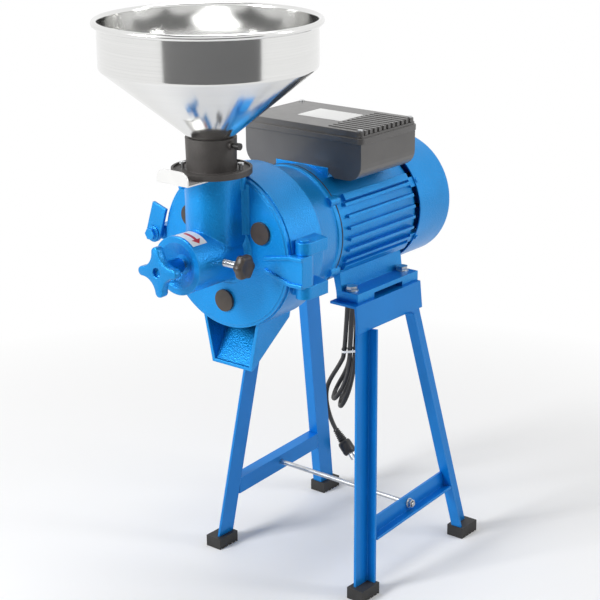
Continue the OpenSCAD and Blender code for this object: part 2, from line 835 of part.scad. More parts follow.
module fan_cover() {
    w = fan_cover_wall;
    r = fan_cover_r;
    color(blue) on_shaft() difference() {
        turned_y(concat([[r - w, fan_cover_y0], [r, fan_cover_y0]], arc(r - cover_edge, fan_cover_y1 - cover_edge, cover_edge, 0, quarter, 6),
            [[0, fan_cover_y1], [0, fan_cover_y1 - w]], arc(r - cover_edge, fan_cover_y1 - cover_edge, cover_edge - w, quarter, 0, 6)));
        for (i = [-slots_half : slots_half]) {
            h = sqrt(pow(grille_r, 2) - pow(i * slot_pitch, 2));
            translate([i * slot_pitch - slot_w / 2, fan_cover_y1 - w - over, -h]) cube([slot_w, w + 2 * over, 2 * h]);
        }
        at_corners(cover_screw_a) rod_x([r - ear_w, cover_screw_y, 0], 2 * ear_w, cover_screw_r + gap);
    }
}
module motor_bolts() {
    color(steel) on_shaft() {
        at_corners(lug_a) {
            rod_y([lug_ring, body_y0 - shield_lug_l, 0], shield_lug_l + lug_l, bolt_r);
            hex_y([lug_ring, body_y0 + lug_l, 0], hex_h, hex_r);
        }
        at_corners(rear_bolt_a) {
            rod_y([rear_bolt_ring, body_y1 - rear_bolt_l, 0], rear_bolt_l + rear_flange_t, bolt_r);
            hex_y([rear_bolt_ring, body_y1 + rear_flange_t, 0], hex_h, hex_r);
        }
        at_corners(cover_screw_a) {
            rod_x([body_r - bolt_r, cover_screw_y, 0], fan_cover_r - body_r + bolt_r, cover_screw_r);
            rod_x([fan_cover_r, cover_screw_y, 0], cover_screw_r, 2 * cover_screw_r);
        }
    }
}

// Rotor
module motor_shaft() {
    color(steel) on_shaft() turned_y([[0, shaft_nose_y], [shaft_nose_r, shaft_nose_y], [shaft_nose_r, shoulder_y],
        [shaft_mid_r, shoulder_y], [shaft_mid_r, front_bearing_y - journal_step], [shaft_r, front_bearing_y - journal_step],
        [shaft_r, rear_bearing_y + bearing_w + fan_step], [fan_shaft_r, rear_bearing_y + bearing_w + fan_step],
        [fan_shaft_r, shaft_rear_y], [0, shaft_rear_y]]);
}
module rotor_core() {
    color(steel) on_shaft() difference() {
        rod_y([0, stator_y0, 0], stator_l, stator_bore_r - air_gap);
        rod_y([0, stator_y0 - over, 0], stator_l + 2 * over, shaft_r);
    }
}
module cooling_fan() {
    color(black) on_shaft() difference() {
        union() {
            rod_y([0, fan_y, 0], fan_w, fan_hub_r);
            rod_y([0, fan_y + fan_w / 2, 0], blade_t, fan_disc_r);
            ring_of(blades) translate([fan_hub_r - over, fan_y, -blade_t / 2]) cube([fan_r - fan_hub_r + over, fan_w, blade_t]);
        }
        rod_y([0, fan_y - over, 0], fan_w + 2 * over, fan_shaft_r);
    }
}
module disc_carrier() {
    color(steel) on_shaft() difference() {
        union() {
            rod_y([0, moving_back, 0], carrier_t, carrier_r);
            rod_y([0, moving_back, 0], carrier_t + carrier_hub_l, carrier_hub_r);
        }
        rod_y([0, moving_back - over, 0], carrier_t + carrier_hub_l + 2 * over, shaft_nose_r + run);
    }
}
// Slanting dress grooves on the face of a grinding disc
module dress(y) {
    for (i = [0 : grooves - 1]) rotate([0, i * full_turn / grooves, 0])
        translate([disc_hole_r + dress_in, y, 0]) rotate([0, groove_skew, 0])
            translate([0, -groove_d, -groove_w / 2]) cube([disc_r, 2 * groove_d, groove_w]);
}
module moving_disc() {
    color(dark) on_shaft() difference() {
        rod_y([0, moving_front, 0], disc_t, disc_r);
        rod_y([0, moving_front - over, 0], disc_t + 2 * over, moving_hole_r);
        dress(moving_front);
    }
}
module feed_auger() {
    l = shaft_nose_y - auger_tip_y - nose_seat - auger_lead;
    color(dark) on_shaft() {
        difference() {
            rod_y([0, auger_tip_y, 0], moving_back - auger_tip_y, auger_core_r);
            rod_y([0, shaft_nose_y - nose_seat, 0], moving_back - shaft_nose_y + nose_seat + over, shaft_nose_r + run);
        }
        difference() {
            rod_y([0, moving_back - auger_collar_l, 0], auger_collar_l, moving_hole_r);
            rod_y([0, moving_back - auger_collar_l - over, 0], auger_collar_l + 2 * over, auger_core_r);
        }
        difference() {
            translate([0, auger_tip_y + auger_lead + l, 0]) rotate([quarter, 0, 0])
                linear_extrude(l, twist = auger_turn, scale = auger_taper, slices = auger_slices)
                    square([2 * auger_flight_r, flight_t], center = true);
            rod_y([0, auger_tip_y - over, 0], moving_back - auger_tip_y, auger_core_r - over);
        }
    }
}
module disc_spring() {
    y0 = moving_back + carrier_t + carrier_hub_l + spring_wire_r + run;
    l = shoulder_y - y0 - spring_wire_r - run;
    n = spring_turns * spring_steps;
    c = shaft_nose_r + spring_wire_r + over / 2;
    color(steel) on_shaft() tube([for (i = [0 : n]) [c * cos(i * full_turn / spring_steps), y0 + l * i / n,
        c * sin(i * full_turn / spring_steps)]], spring_wire_r, spring_sides);
}

// Housing: drum, chute, hinge lugs and clamp ear in one casting
function arc(cx, cy, r, a0, a1, n) = [for (i = [0 : n]) let (a = a0 + (a1 - a0) * i / n) [cx + r * cos(a), cy + r * sin(a)]];
module lug(z, h) {
    translate([0, 0, z]) {
        translate([hinge_x, hinge_y, 0]) cylinder(h = h, r = knuckle_r);
        linear_extrude(h) polygon([[lug_in_x, hinge_y], [hinge_x + knuckle_r, hinge_y],
            [hinge_x + knuckle_r, lug_back_y], [lug_in_x, lug_back_y + lug_slope]]);
    }
}
module chute_front(grow, low) {
    polygon([for (s = [[1, 1], [1, 2], [1, 3], [-1, 3], [-1, 2], [-1, 1]]) let (
        x = s[1] == 1 ? chute_top_x : s[1] == 2 ? chute_mid_x : chute_low_x,
        z = s[1] == 1 ? chute_join_z : s[1] == 2 ? chute_mid_z : low)
        [s[0] * (x - grow), z]]);
}
module chute_side(grow) {
    polygon([[cover_back - grow * 2, chute_join_z + over], [cover_back - grow * 2, chute_low_z + grow],
        [cover_back + chute_lip, chute_low_z + grow], [chute_back_y - grow, chute_sink - drum_r + grow],
        [chute_back_y - grow, chute_join_z + over]]);
}
module grinder_housing() {
    color(blue) on_shaft() difference() {
        union() {
            turned_y(concat([[0, cover_back], [drum_r, cover_back]],
                arc(drum_r - drum_taper - drum_fillet, drum_back - drum_fillet, drum_fillet, 0, quarter, 4),
                [[0, drum_back]]));
            intersection() {
                slab_y(cover_back, chute_back_y - cover_back) chute_front(0, chute_low_z);
                slab_x(-chute_top_x, 2 * chute_top_x) chute_side(0);
            }
            lug(knuckle_z0 + knuckle_h + lug_gap, lug_upper_h);
            lug(knuckle_z0 - lug_gap - lug_lower_h, lug_lower_h);
            translate([-clamp_x, cover_back, clamp_z - clamp_boss_r]) cube([clamp_x - lug_in_x, ear_h, 2 * clamp_boss_r]);
            rod_y([-clamp_x, clamp_front + gap, clamp_z], cover_back + ear_h - clamp_front - gap, clamp_boss_r);
        }
        turned_y([[0, cover_back - over], [drum_in_r, cover_back - over], [drum_in_r - drum_taper, drum_back - back_plate_t],
            [0, drum_back - back_plate_t]]);
        intersection() {
            slab_y(cover_back - over, chute_back_y - cover_back) chute_front(chute_wall, chute_low_z + chute_wall);
            slab_x(-chute_top_x, 2 * chute_top_x) chute_side(chute_wall);
        }
        rod_y([0, drum_back - back_plate_t - over, 0], back_plate_t + 2 * over, back_bore_r);
        rod_z([hinge_x, hinge_y, knuckle_z0 - 2 * lug_lower_h], knuckle_h + 4 * lug_lower_h, pin_r);
        rod_z([hinge_x, hinge_y, knuckle_z0 - gap], knuckle_h + 2 * gap, knuckle_r + gap);
        rod_y([-clamp_x, cover_front - over, clamp_z], ear_h + cover_t + 2 * over, clamp_bolt_r);
        at_housing_bolts() rod_y([0, drum_back - back_plate_t - over, 0], back_plate_t + 2 * over, housing_bolt_r + gap);
    }
}
module housing_bolts() {
    grip = back_plate_t + bell_flange;
    y = drum_back - back_plate_t;
    color(steel) on_shaft() at_housing_bolts() {
        rod_y([0, y, 0], grip + hex_h + over, housing_bolt_r);
        hex_y([0, y - hex_h, 0], hex_h, 2 * housing_bolt_r);
        difference() {
            hex_y([0, y + grip, 0], hex_h, 2 * housing_bolt_r);
            rod_y([0, y + grip - over, 0], hex_h + 2 * over, housing_bolt_r + run);
        }
    }
}
module hinge_pin() {
    low = knuckle_z0 - lug_gap - lug_lower_h;
    top = knuckle_z0 + knuckle_h + lug_gap + lug_upper_h;
    color(steel) on_shaft() {
        rod_z([hinge_x, hinge_y, low], top - low, pin_r);
        rod_z([hinge_x, hinge_y, top], pin_lip, pin_r + pin_lip);
    }
}
module clamp_bolt() {
    y = clamp_front - clamp_t - gap;
    color(blue) on_shaft() {
        rod_y([-clamp_x, y, clamp_z], cover_back + ear_h - y, clamp_bolt_r);
        rod_y([-clamp_x, y - clamp_washer_h, clamp_z], clamp_washer_h, clamp_boss_r + over);
        hex_y([-clamp_x, y - clamp_washer_h - clamp_hex_h, clamp_z], clamp_hex_h, clamp_hex_r);
    }
}
module clamp_plate() {
    w = clamp_w / 2;
    color(blue) on_shaft() translate([-clamp_x, clamp_front - clamp_t, clamp_z]) rotate([0, -clamp_park, 0]) difference() {
        slab_y(0, clamp_t) union() {
            circle(r = w);
            translate([0, -w]) square([clamp_l, 2 * w]);
        }
        rod_y([0, -over, 0], clamp_t + 2 * over, clamp_bolt_r + run);
    }
}
module shaft_seal() {
    color(black) on_shaft() difference() {
        rod_y([0, drum_back - back_plate_t, 0], seal_l, back_bore_r);
        rod_y([0, drum_back - back_plate_t - over, 0], seal_l + 2 * over, shaft_mid_r + run);
    }
}

// Cover casting: disc, feed hub, inlet tower and hinge arm
module hinge_arm() {
    z1 = knuckle_z0 + knuckle_h;
    rod_z([hinge_x, hinge_y, knuckle_z0], knuckle_h, knuckle_r);
    x1 = hinge_x - knuckle_r + arm_lap;
    slab_y(cover_front, cover_t + arm_lap) polygon([[cover_r - arm_in, arm_low], [cover_r - arm_in, arm_high],
        [x1, z1], [hinge_x, z1], [hinge_x, knuckle_z0], [x1, knuckle_z0]]);
    translate([hinge_x - knuckle_r, cover_front, knuckle_z0]) cube([2 * knuckle_r, hinge_y - cover_front, knuckle_h]);
}
module front_cover() {
    color(blue) on_shaft() difference() {
        union() {
            turned_y([[0, cover_front], [cover_r - step_w, cover_front], [cover_r - step_w, cover_front + step_d],
                [cover_r, cover_front + step_d], [cover_r, cover_back], [0, cover_back]]);
            rod_y([0, hub_front, 0], hub_l + over, hub_r);
            rod_z([0, inlet_axis_y, 0], inlet_top, inlet_r);
            translate([-inlet_r, inlet_axis_y, 0]) cube([2 * inlet_r, inlet_y + over, inlet_top]);
            for (a = [screw_ring_a, screw_ring_a + half_turn]) translate([0, inlet_axis_y, inlet_top - screw_boss_h])
                rod_z([screw_ring_r * cos(a), screw_ring_r * sin(a), 0], screw_boss_h, screw_boss_r);
            hinge_arm();
        }
        rod_y([0, hub_wall_y, 0], cover_back - hub_wall_y + over, hub_bore_r);
        rod_z([0, inlet_axis_y, inlet_floor], inlet_top, inlet_bore_r);
        rod_y([0, hub_front - over, 0], hub_l, thrust_r + run);
        turned_y([[0, hub_front - over], [dish_r + over, hub_front - over], [dish_floor_r, hub_front + dish_d],
            [0, hub_front + dish_d]]);
        rod_x([0, lock_y, 0], hub_r + over, lock_stud_r + run);
        translate([-gate_w / 2 - gap, gate_front, gate_seat_z]) cube([gate_w + 2 * gap, cover_back - gate_front - over / 2, inlet_top]);
        for (a = [screw_ring_a, screw_ring_a + half_turn]) translate([0, inlet_axis_y, inlet_top - screw_boss_h + tap_skin])
            rod_z([screw_ring_r * cos(a), screw_ring_r * sin(a), 0], screw_boss_h, small_screw_r);
        for (a = plug_angles) rotate([0, -a, 0]) rod_y([plug_ring_r, cover_front - over, 0], cover_t + 2 * over, plug_shank_r);
        rod_z([hinge_x, hinge_y, knuckle_z0 - over], knuckle_h + 2 * over, pin_r + run);
        rod_y([0, cover_back, 0], ear_h, drum_r + gap);
    }
}
module fixed_disc() {
    color(dark) on_shaft() difference() {
        rod_y([0, cover_back, 0], disc_t, disc_r);
        rod_y([0, cover_back - over, 0], disc_t + 2 * over, disc_hole_r);
        dress(fixed_back);
        for (a = plug_angles) rotate([0, -a, 0]) rod_y([plug_ring_r, cover_back - over, 0], disc_t - disc_skin, plug_shank_r);
    }
}
module disc_bolts() {
    color(brown) on_shaft() for (a = plug_angles) rotate([0, -a, 0]) {
        rod_y([plug_ring_r, cover_front - plug_h, 0], plug_h, plug_r);
        rod_y([plug_ring_r, cover_front - over, 0], cover_t + disc_t - 2 * disc_skin, plug_shank_r);
    }
}
module thrust_pin() {
    y0 = star_y0 + star_hole_d + pin_room;
    color(steel) on_shaft() rod_y([0, y0, 0], auger_tip_y - gap - y0, thrust_r);
}
// Four-armed handle with hollowed flanks
module star_outline() {
    difference() {
        hull() for (a = [0 : quarter : full_turn - 1]) translate(polar(star_reach - star_lobe_r, a)) circle(r = star_lobe_r);
        for (a = [45 : quarter : full_turn]) translate(polar(star_reach + star_hollow, a)) circle(r = star_reach + star_hollow - star_waist_r);
    }
    circle(r = star_waist_r + over);
}
module star_handle() {
    color(blue) on_shaft() difference() {
        union() {
            rotate([0, star_tilt, 0]) slab_y(star_y0, star_t) star_outline();
            rod_y([0, star_y0, 0], star_shank_end - star_y0, star_shank_r);
        }
        rod_y([0, star_y0 - over, 0], star_hole_d + over, star_hole_r);
        rod_y([0, star_y0, 0], star_shank_end - star_y0 + over, thrust_r + run);
    }
}
module lock_knob() {
    x1 = lock_knob_x + lock_knob_t;
    on_shaft() {
        color(steel) rod_x([thrust_r + 2 * gap, lock_y, 0], lock_knob_x - thrust_r - 2 * gap, lock_stud_r);
        color(brown) translate([lock_knob_x, lock_y, 0]) rotate([0, quarter, 0]) difference() {
            cylinder(h = lock_knob_t, r = lock_knob_r);
            for (i = [0 : lock_lobes - 1]) rotate((i + 0.5) * full_turn / lock_lobes) translate([lock_knob_r + lock_scallop_r * lock_scallop_share, 0, -over])
                cylinder(h = lock_knob_t + 2 * over, r = lock_scallop_r);
            translate([0, 0, lock_knob_t - lock_dimple_d]) cylinder(h = lock_dimple_d + over, r = lock_dimple_r);
        }
    }
}
module gate_plate() {
    w = gate_w / 2;
    color(steel) on_shaft() {
        translate([-w, gate_front, gate_seat_z]) cube([gate_w, cover_back - over - gate_front, gate_t]);
        slab_y(gate_front, gate_t) intersection() {
            translate([-w, gate_seat_z]) square([gate_w, gate_tab_h]);
            union() {
                for (s = [-1, 1]) translate([s * (w - gate_tab_r), gate_seat_z + gate_tab_h - gate_tab_r]) circle(r = gate_tab_r);
                translate([-w, gate_seat_z]) square([gate_w, gate_tab_h - gate_tab_r]);
                translate([gate_tab_r - w, gate_seat_z]) square([gate_w - 2 * gate_tab_r, gate_tab_h]);
            }
        }
    }
}
module at_inlet() { on_shaft() translate([0, inlet_axis_y, 0]) children(); }
module hopper_neck() {
    f = neck_seat + flange_t;
    color(dark) at_inlet() difference() {
        union() {
            rotate_extrude() polygon([[inlet_bore_r, neck_seat], [flange_r, neck_seat], [flange_r, f + lip_h],
                [flange_r - lip_w, f + lip_h], [flange_r - lip_w, f], [neck_r - neck_draft, f], [neck_r, neck_top],
                [neck_bore_r, neck_top], [neck_bore_r, f], [inlet_bore_r, f - neck_lead]]);
            rod_x([neck_r - boss_sink, 0, thumb_z], thumb_boss_x - neck_r + boss_sink, thumb_r + boss_wall);
        }
        rod_x([neck_bore_r - over, 0, thumb_z], thumb_boss_x, thumb_r + run);
        for (a = [screw_ring_a, screw_ring_a + half_turn])
            rod_z([screw_ring_r * cos(a), screw_ring_r * sin(a), neck_seat - over], flange_t + 2 * over, small_screw_r + gap);
    }
}
module neck_screws() {
    z = neck_seat - screw_boss_h + screw_skin;
    head = neck_seat + flange_t + neck_proud;
    color(steel) at_inlet() for (a = [screw_ring_a, screw_ring_a + half_turn])
        translate([screw_ring_r * cos(a), screw_ring_r * sin(a), 0]) {
            rod_z([0, 0, z], head - z, small_screw_r);
            rod_z([0, 0, head], neck_head_h, neck_head_r);
        }
}
module thumbscrew() {
    x0 = spout_r + 4 * gap;
    color(black) at_inlet() {
        rod_x([x0, 0, thumb_z], thumb_head_x - x0 + over, thumb_r);
        rod_x([thumb_head_x, 0, thumb_z], thumb_head_l, thumb_head_r);
    }
}
// Hopper: spun sheet with a rolled rim
module hopper() {
    t = sheet_t;
    wall_z0 = rim_h - hopper_wall_h;
    roll_z = rim_h - rim_roll_r;
    slope = atan2(wall_z0 - cone_start, hopper_r - spout_r);
    lift = t / cos(slope);
    color(steel) at_inlet() rotate_extrude() {
        polygon([[spout_r - t, spout_end], [spout_r, spout_end], [spout_r, cone_start], [hopper_r, wall_z0],
            [hopper_r, roll_z], [hopper_r - t, roll_z], [hopper_r - t, wall_z0 + lift / 2], [spout_r - t, cone_start + lift / 2]]);
        translate([rim_r - rim_roll_r, roll_z]) circle(r = rim_roll_r);
        translate([hopper_r - t, roll_z - rim_roll_r / 2]) square([rim_r - rim_roll_r - hopper_r + t, rim_roll_r]);
    }
}

// Terminal box astride the motor
module terminal_box() {
    mid = box_y0 + box_y / 2;
    color(dark) on_shaft() difference() {
        union() {
            difference() {
                slab_y(box_y0, box_y) difference() { box_profile(0); seat_profile(0); }
                slab_y(box_y0 + box_wall, box_y - 2 * box_wall) difference() { box_profile(box_wall); seat_profile(box_wall); }
            }
            at_lid_screws() rod_z([0, 0, lid_z - post_l], post_l, box_post_r);
        }
        at_lid_screws() rod_z([0, 0, lid_z - post_l + box_wall], post_l, lid_screw_r);
        rod_y([gland_x, mid, gland_z], box_y, gland_tip_r);
        rod_z([0, pad_y0 + pad_l / 2, 0], saddle_r + box_wall, wire_hole_r);
        translate([switch_x - switch_cut / 2, box_y0 + box_y - box_wall - over, switch_z - rocker_r - gap])
            cube([switch_cut, box_wall + 2 * over, 2 * (rocker_r + gap)]);
    }
}
// What the box sits on, seen from the front: the pad on top of the motor and its round flanks
module seat_profile(grow) {
    w = pad_half + gap + grow;
    difference() {
        union() {
            circle(r = saddle_r + grow);
            translate([-w, 0]) square([2 * w, pad_top + grow]);
        }
        translate([-w, pad_top + grow]) square([2 * w, saddle_r]);
    }
}
module at_lid_screws() {
    x = box_x / 2 + lid_over - lid_inset;
    y = box_y / 2 + lid_over - lid_inset;
    for (sx = [-1, 1], sy = [-1, 1]) translate([sx * x, box_y0 + box_y / 2 + sy * y, 0]) children();
}
// Front view of the box: upright sides, rounded lower corners
module box_profile(grow) {
    x = box_x / 2 - grow;
    r = box_low_corner;
    z = box_floor + grow;
    polygon(concat([[x, lid_z + grow], [-x, lid_z + grow]], arc(-x + r, z + r, r, half_turn, half_turn + quarter, 6),
        arc(x - r, z + r, r, -quarter, 0, 6)));
}
module plan_round(x, y, r) {
    for (sx = [-1, 1], sy = [-1, 1]) translate([sx * (x / 2 - r), sy * (y / 2 - r)]) circle(r = r);
    square([x - 2 * r, y], center = true);
    square([x, y - 2 * r], center = true);
}
module terminal_box_lid() {
    x = box_x + 2 * lid_over;
    y = box_y + 2 * lid_over;
    pitch = (y - 2 * box_corner) / lid_ribs;
    color(dark) on_shaft() difference() {
        union() {
            translate([0, box_y0 + box_y / 2, lid_z]) difference() {
                union() {
                    linear_extrude(lid_h - rib_h) plan_round(x, y, box_corner);
                    for (i = [0 : lid_ribs - 1])
                        translate([-x / 2 + box_corner, -y / 2 + box_corner + (i + 0.5) * pitch - rib_w / 2, lid_h - rib_h - over])
                            cube([x - 2 * box_corner, rib_w, rib_h + over]);
                }
                translate([0, 0, -over]) linear_extrude(lid_h - rib_h - box_wall + over)
                    plan_round(box_x - 2 * box_wall, box_y - 2 * box_wall, box_corner - box_wall);
            }
            at_lid_screws() rod_z([0, 0, lid_z], lid_h - rib_h - over, box_post_r);
        }
        at_lid_screws() rod_z([0, 0, lid_z - over], lid_h + 2 * over, lid_screw_r + gap);
        at_lid_screws() rod_z([0, 0, lid_z + lid_h - rib_h], rib_h + over, lid_head_r + gap);
    }
}
module lid_screws() {
    color(steel) on_shaft() at_lid_screws() {
        rod_z([0, 0, lid_z - post_l + box_wall + over], post_l + lid_h - rib_h - box_wall - over, lid_screw_r);
        rod_z([0, 0, lid_z + lid_h - rib_h], lid_head_h, lid_head_r);
    }
}
module capacitors() {
    color(black) on_shaft() both_sides() {
        rod_y([cap_x, box_y0 + cap_y, cap_z], cap_l, cap_r);
        for (s = [-1, 1]) rod_y([cap_x + s * cap_r / 3, box_y0 + cap_y + cap_l, cap_z], cap_tab_l, cap_tab_r);
    }
}
module terminal_block() {
    color([0.85, 0.84, 0.8]) on_shaft() translate([0, box_y0 + block_y, pad_top + box_wall]) difference() {
        translate([-block_l / 2, 0, 0]) cube([block_l, block_w, block_h]);
        for (i = [-2 : 2]) rod_z([i * block_l / 5, block_w / 2, block_h / 2], block_h, block_hole_r);
    }
}
module cable_gland() {
    y = box_y0 + box_y;
    color(black) on_shaft() difference() {
        union() {
            rod_y([gland_x, y - box_wall, gland_z], box_wall, gland_tip_r);
            hex_y([gland_x, y, gland_z], gland_hex_l, gland_hex_r);
            hex_y([gland_x, y - box_wall - gland_nut_l, gland_z], gland_nut_l, gland_hex_r - gland_nut_in);
            translate([gland_x, y + gland_hex_l, gland_z]) rotate([-quarter, 0, 0])
                cylinder(h = gland_l - gland_hex_l, r1 = gland_tip_r + gland_swell, r2 = gland_tip_r - gland_nut_in);
        }
        rod_y([gland_x, y - box_wall - gland_nut_l - over, gland_z], box_wall + gland_nut_l, cord_r);
    }
}
module switch_bezel() {
    y = box_y0 + box_y;
    hw = rocker_w / 2 + 2 * gap;
    hh = rocker_r + gap;
    color(black) on_shaft() translate([switch_x, y, switch_z]) difference() {
        union() {
            translate([-bezel_w / 2, 0, -bezel_h / 2]) cube([bezel_w, bezel_t, bezel_h]);
            for (s = [-1, 1]) translate([s > 0 ? hw : -hw - cheek_t, -cheek_l, -hh + gap]) cube([cheek_t, cheek_l + over, 2 * hh - 2 * gap]);
        }
        translate([-hw, -box_wall - over, -hh]) cube([2 * hw, box_wall + bezel_t + 2 * over, 2 * hh]);
        rod_x([-bezel_w / 2, -rocker_pivot, 0], bezel_w, rocker_pin_r + run);
    }
}
module rocker_switch() {
    y = box_y0 + box_y - rocker_pivot;
    color(black) on_shaft() translate([switch_x, y, switch_z]) rotate([rocker_rest, 0, 0]) {
        slab_x(-rocker_w / 2, rocker_w) intersection() {
            circle(r = rocker_r);
            polygon([[-rocker_back, -rocker_r], [rocker_tip, -rocker_r], [rocker_waist, 0], [rocker_tip, rocker_r], [-rocker_back, rocker_r]]);
        }
        rod_x([-rocker_w / 2 - rocker_pin_out, 0, 0], rocker_w + 2 * rocker_pin_out, rocker_pin_r);
    }
}

// Mains cord: one tube from the gland through the hank to the plug
function across(l) = l * [cos(hank_turn), sin(hank_turn), 0];
function inward(l) = l * [-sin(hank_turn), cos(hank_turn), 0];
function ease(s) = (1 - cos(half_turn * s)) / 2;
function level(v) = let (w = v - (v * inward(1)) * inward(1)) w / norm(w);
// A strand over the tie and under it: share s of the way down, column c, side k
function upper(s, c, k) = hank_top + s * (hank_tie - hank_top) + across(strand_gap * c)
    + inward(k * (fold_r + (strand_half - fold_r) * ease(s)));
function lower(s, c, k, i) = let (a = hank_tie + across(strand_gap * c), e = loop_low[i], b = e - loop_reach * level(loop_slope[i]))
    pow(1 - s, 2) * a + 2 * s * (1 - s) * b + s * s * e + inward(k * (strand_half + (fold_r - strand_half) * ease(s)));
function low_fold(i) = [for (a = [0 : fold_step : half_turn])
    loop_low[i] - inward(fold_r * cos(a)) + fold_r * sin(a) * level(loop_slope[i])];
function top_fold(c) = [for (a = [0 : fold_step : half_turn])
    hank_top + across(strand_gap * (c + (cos(a) - 1) / 2)) + inward(fold_r * cos(a)) + [0, 0, fold_r * sin(a)]];
function lead_in(s) = let (a = hank_start[1], b = upper(1, 1, -1)) a + ease(s) * [b[0] - a[0], b[1] - a[1], 0] + s * [0, 0, b[2] - a[2]];
function lead_out(s) = hank_top + s * (hank_tie - hank_top) - across(strand_gap) - inward(fold_r * (1 - ease(s)));
hank_route = concat(hank_start, [lead_in(1 / 3), lead_in(2 / 3), upper(1, 1, -1)],
    [for (s = down_shares) lower(s, 1, -1, 0)], low_fold(0), [for (s = up_shares) lower(s, 1, 1, 0)],
    [upper(1, 1, 1)], [for (s = up_shares) upper(s, 1, 1)], top_fold(1),
    [for (s = down_shares) upper(s, 0, -1)], [upper(1, 0, -1)],
    [for (s = down_shares) lower(s, 0, -1, 1)], low_fold(1), [for (s = up_shares) lower(s, 0, 1, 1)],
    [upper(1, 0, 1)], [for (s = up_shares) upper(s, 0, 1)], top_fold(0),
    [for (s = down_shares) lead_out(s)], hank_end);
module cord_lead() { color(black) centred() tube(lead_route, cord_r, cord_sides); }
module cord_hank() { color(black) centred() tube(hank_route, cord_r, hank_sides); }
module cord_tail() { color(black) centred() tube(tail_route, cord_r, cord_sides); }
module cord_tie() {
    x = strand_gap + cord_r + tie_slack;
    y = strand_half + cord_r + tie_slack;
    color([0.9, 0.9, 0.88]) centred() translate(hank_tie - [0, 0, tie_h / 2]) rotate(hank_turn) difference() {
        translate([-x - tie_t, -y - tie_t, 0]) cube([2 * (x + tie_t), 2 * (y + tie_t), tie_h]);
        translate([-x, -y, -over]) cube([2 * x, 2 * y, tie_h + 2 * over]);
    }
}
module plug() {
    start = tail_route[len(tail_route) - 1];
    dir = plug_end - start;
    l = norm(dir);
    color(black) centred() translate(start) rotate([0, atan2(-dir[0], -dir[2]), 0]) mirror([0, 0, 1]) {
        cylinder(h = plug_neck_l, r1 = cord_r + plug_neck_in, r2 = cord_r + plug_neck_out);
        translate([0, 0, plug_neck_l]) cylinder(h = plug_body_l, r = plug_body_r);
        for (s = [-1, 1]) translate([0, s * prong_gap / 2, plug_neck_l + plug_body_l]) cylinder(h = prong_l, r = prong_r);
    }
}
module left_rail() { rail(-1); }
module right_rail() { rail(1); }
module left_crossbar() { crossbar(-1); }
module right_crossbar() { crossbar(1); }

left_rail();
right_rail();
left_front_leg();
left_rear_leg();
right_front_leg();
right_rear_leg();
left_crossbar();
right_crossbar();
rubber_feet();
tie_rod();
tie_rod_nuts();
foot_bolts();
motor_housing();
stator_core();
stator_windings();
front_end_shield();
rear_end_shield();
front_bearing();
rear_bearing();
fan_cover();
motor_bolts();
terminal_box();
terminal_box_lid();
lid_screws();
capacitors();
terminal_block();
cable_gland();
switch_bezel();
rocker_switch();
grinder_housing();
housing_bolts();
hinge_pin();
clamp_bolt();
clamp_plate();
shaft_seal();
motor_shaft();
rotor_core();
cooling_fan();
disc_carrier();
moving_disc();
feed_auger();
disc_spring();
front_cover();
fixed_disc();
disc_bolts();
thrust_pin();
star_handle();
lock_knob();
gate_plate();
hopper_neck();
neck_screws();
thumbscrew();
hopper();
cord_lead();
cord_hank();
cord_tie();
cord_tail();
plug();
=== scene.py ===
import json
import math

import bmesh
import bpy
from mathutils import Matrix, Vector

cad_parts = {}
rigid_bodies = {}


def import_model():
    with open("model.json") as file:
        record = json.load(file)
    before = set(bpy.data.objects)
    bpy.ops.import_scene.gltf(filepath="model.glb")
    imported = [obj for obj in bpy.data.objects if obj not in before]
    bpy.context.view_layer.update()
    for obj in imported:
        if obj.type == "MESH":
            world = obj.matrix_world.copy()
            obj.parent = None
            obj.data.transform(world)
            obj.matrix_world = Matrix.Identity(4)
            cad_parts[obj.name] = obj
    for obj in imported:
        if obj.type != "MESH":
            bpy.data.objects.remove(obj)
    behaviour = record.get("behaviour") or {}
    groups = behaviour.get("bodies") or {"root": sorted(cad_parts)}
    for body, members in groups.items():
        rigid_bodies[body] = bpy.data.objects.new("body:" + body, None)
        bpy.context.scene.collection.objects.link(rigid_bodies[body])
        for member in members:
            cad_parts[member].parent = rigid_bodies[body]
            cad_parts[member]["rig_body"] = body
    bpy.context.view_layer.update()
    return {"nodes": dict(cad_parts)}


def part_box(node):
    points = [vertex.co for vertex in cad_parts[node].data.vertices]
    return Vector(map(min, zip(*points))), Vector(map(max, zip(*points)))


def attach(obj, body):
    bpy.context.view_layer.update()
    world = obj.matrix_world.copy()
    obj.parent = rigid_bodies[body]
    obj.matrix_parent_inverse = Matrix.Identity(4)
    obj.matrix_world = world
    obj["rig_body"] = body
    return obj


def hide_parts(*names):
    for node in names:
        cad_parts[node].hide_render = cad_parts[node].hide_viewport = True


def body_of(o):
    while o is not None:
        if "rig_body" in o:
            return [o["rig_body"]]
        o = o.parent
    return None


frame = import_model()
nodes = frame["nodes"]

MM = 0.001
MID = 0.0185      # the CAD's shift along the shaft, which centres the machine
SHAFT = 0.570     # height of the shaft
INLET = -0.171 + MID      # where the inlet tower and the hopper stand

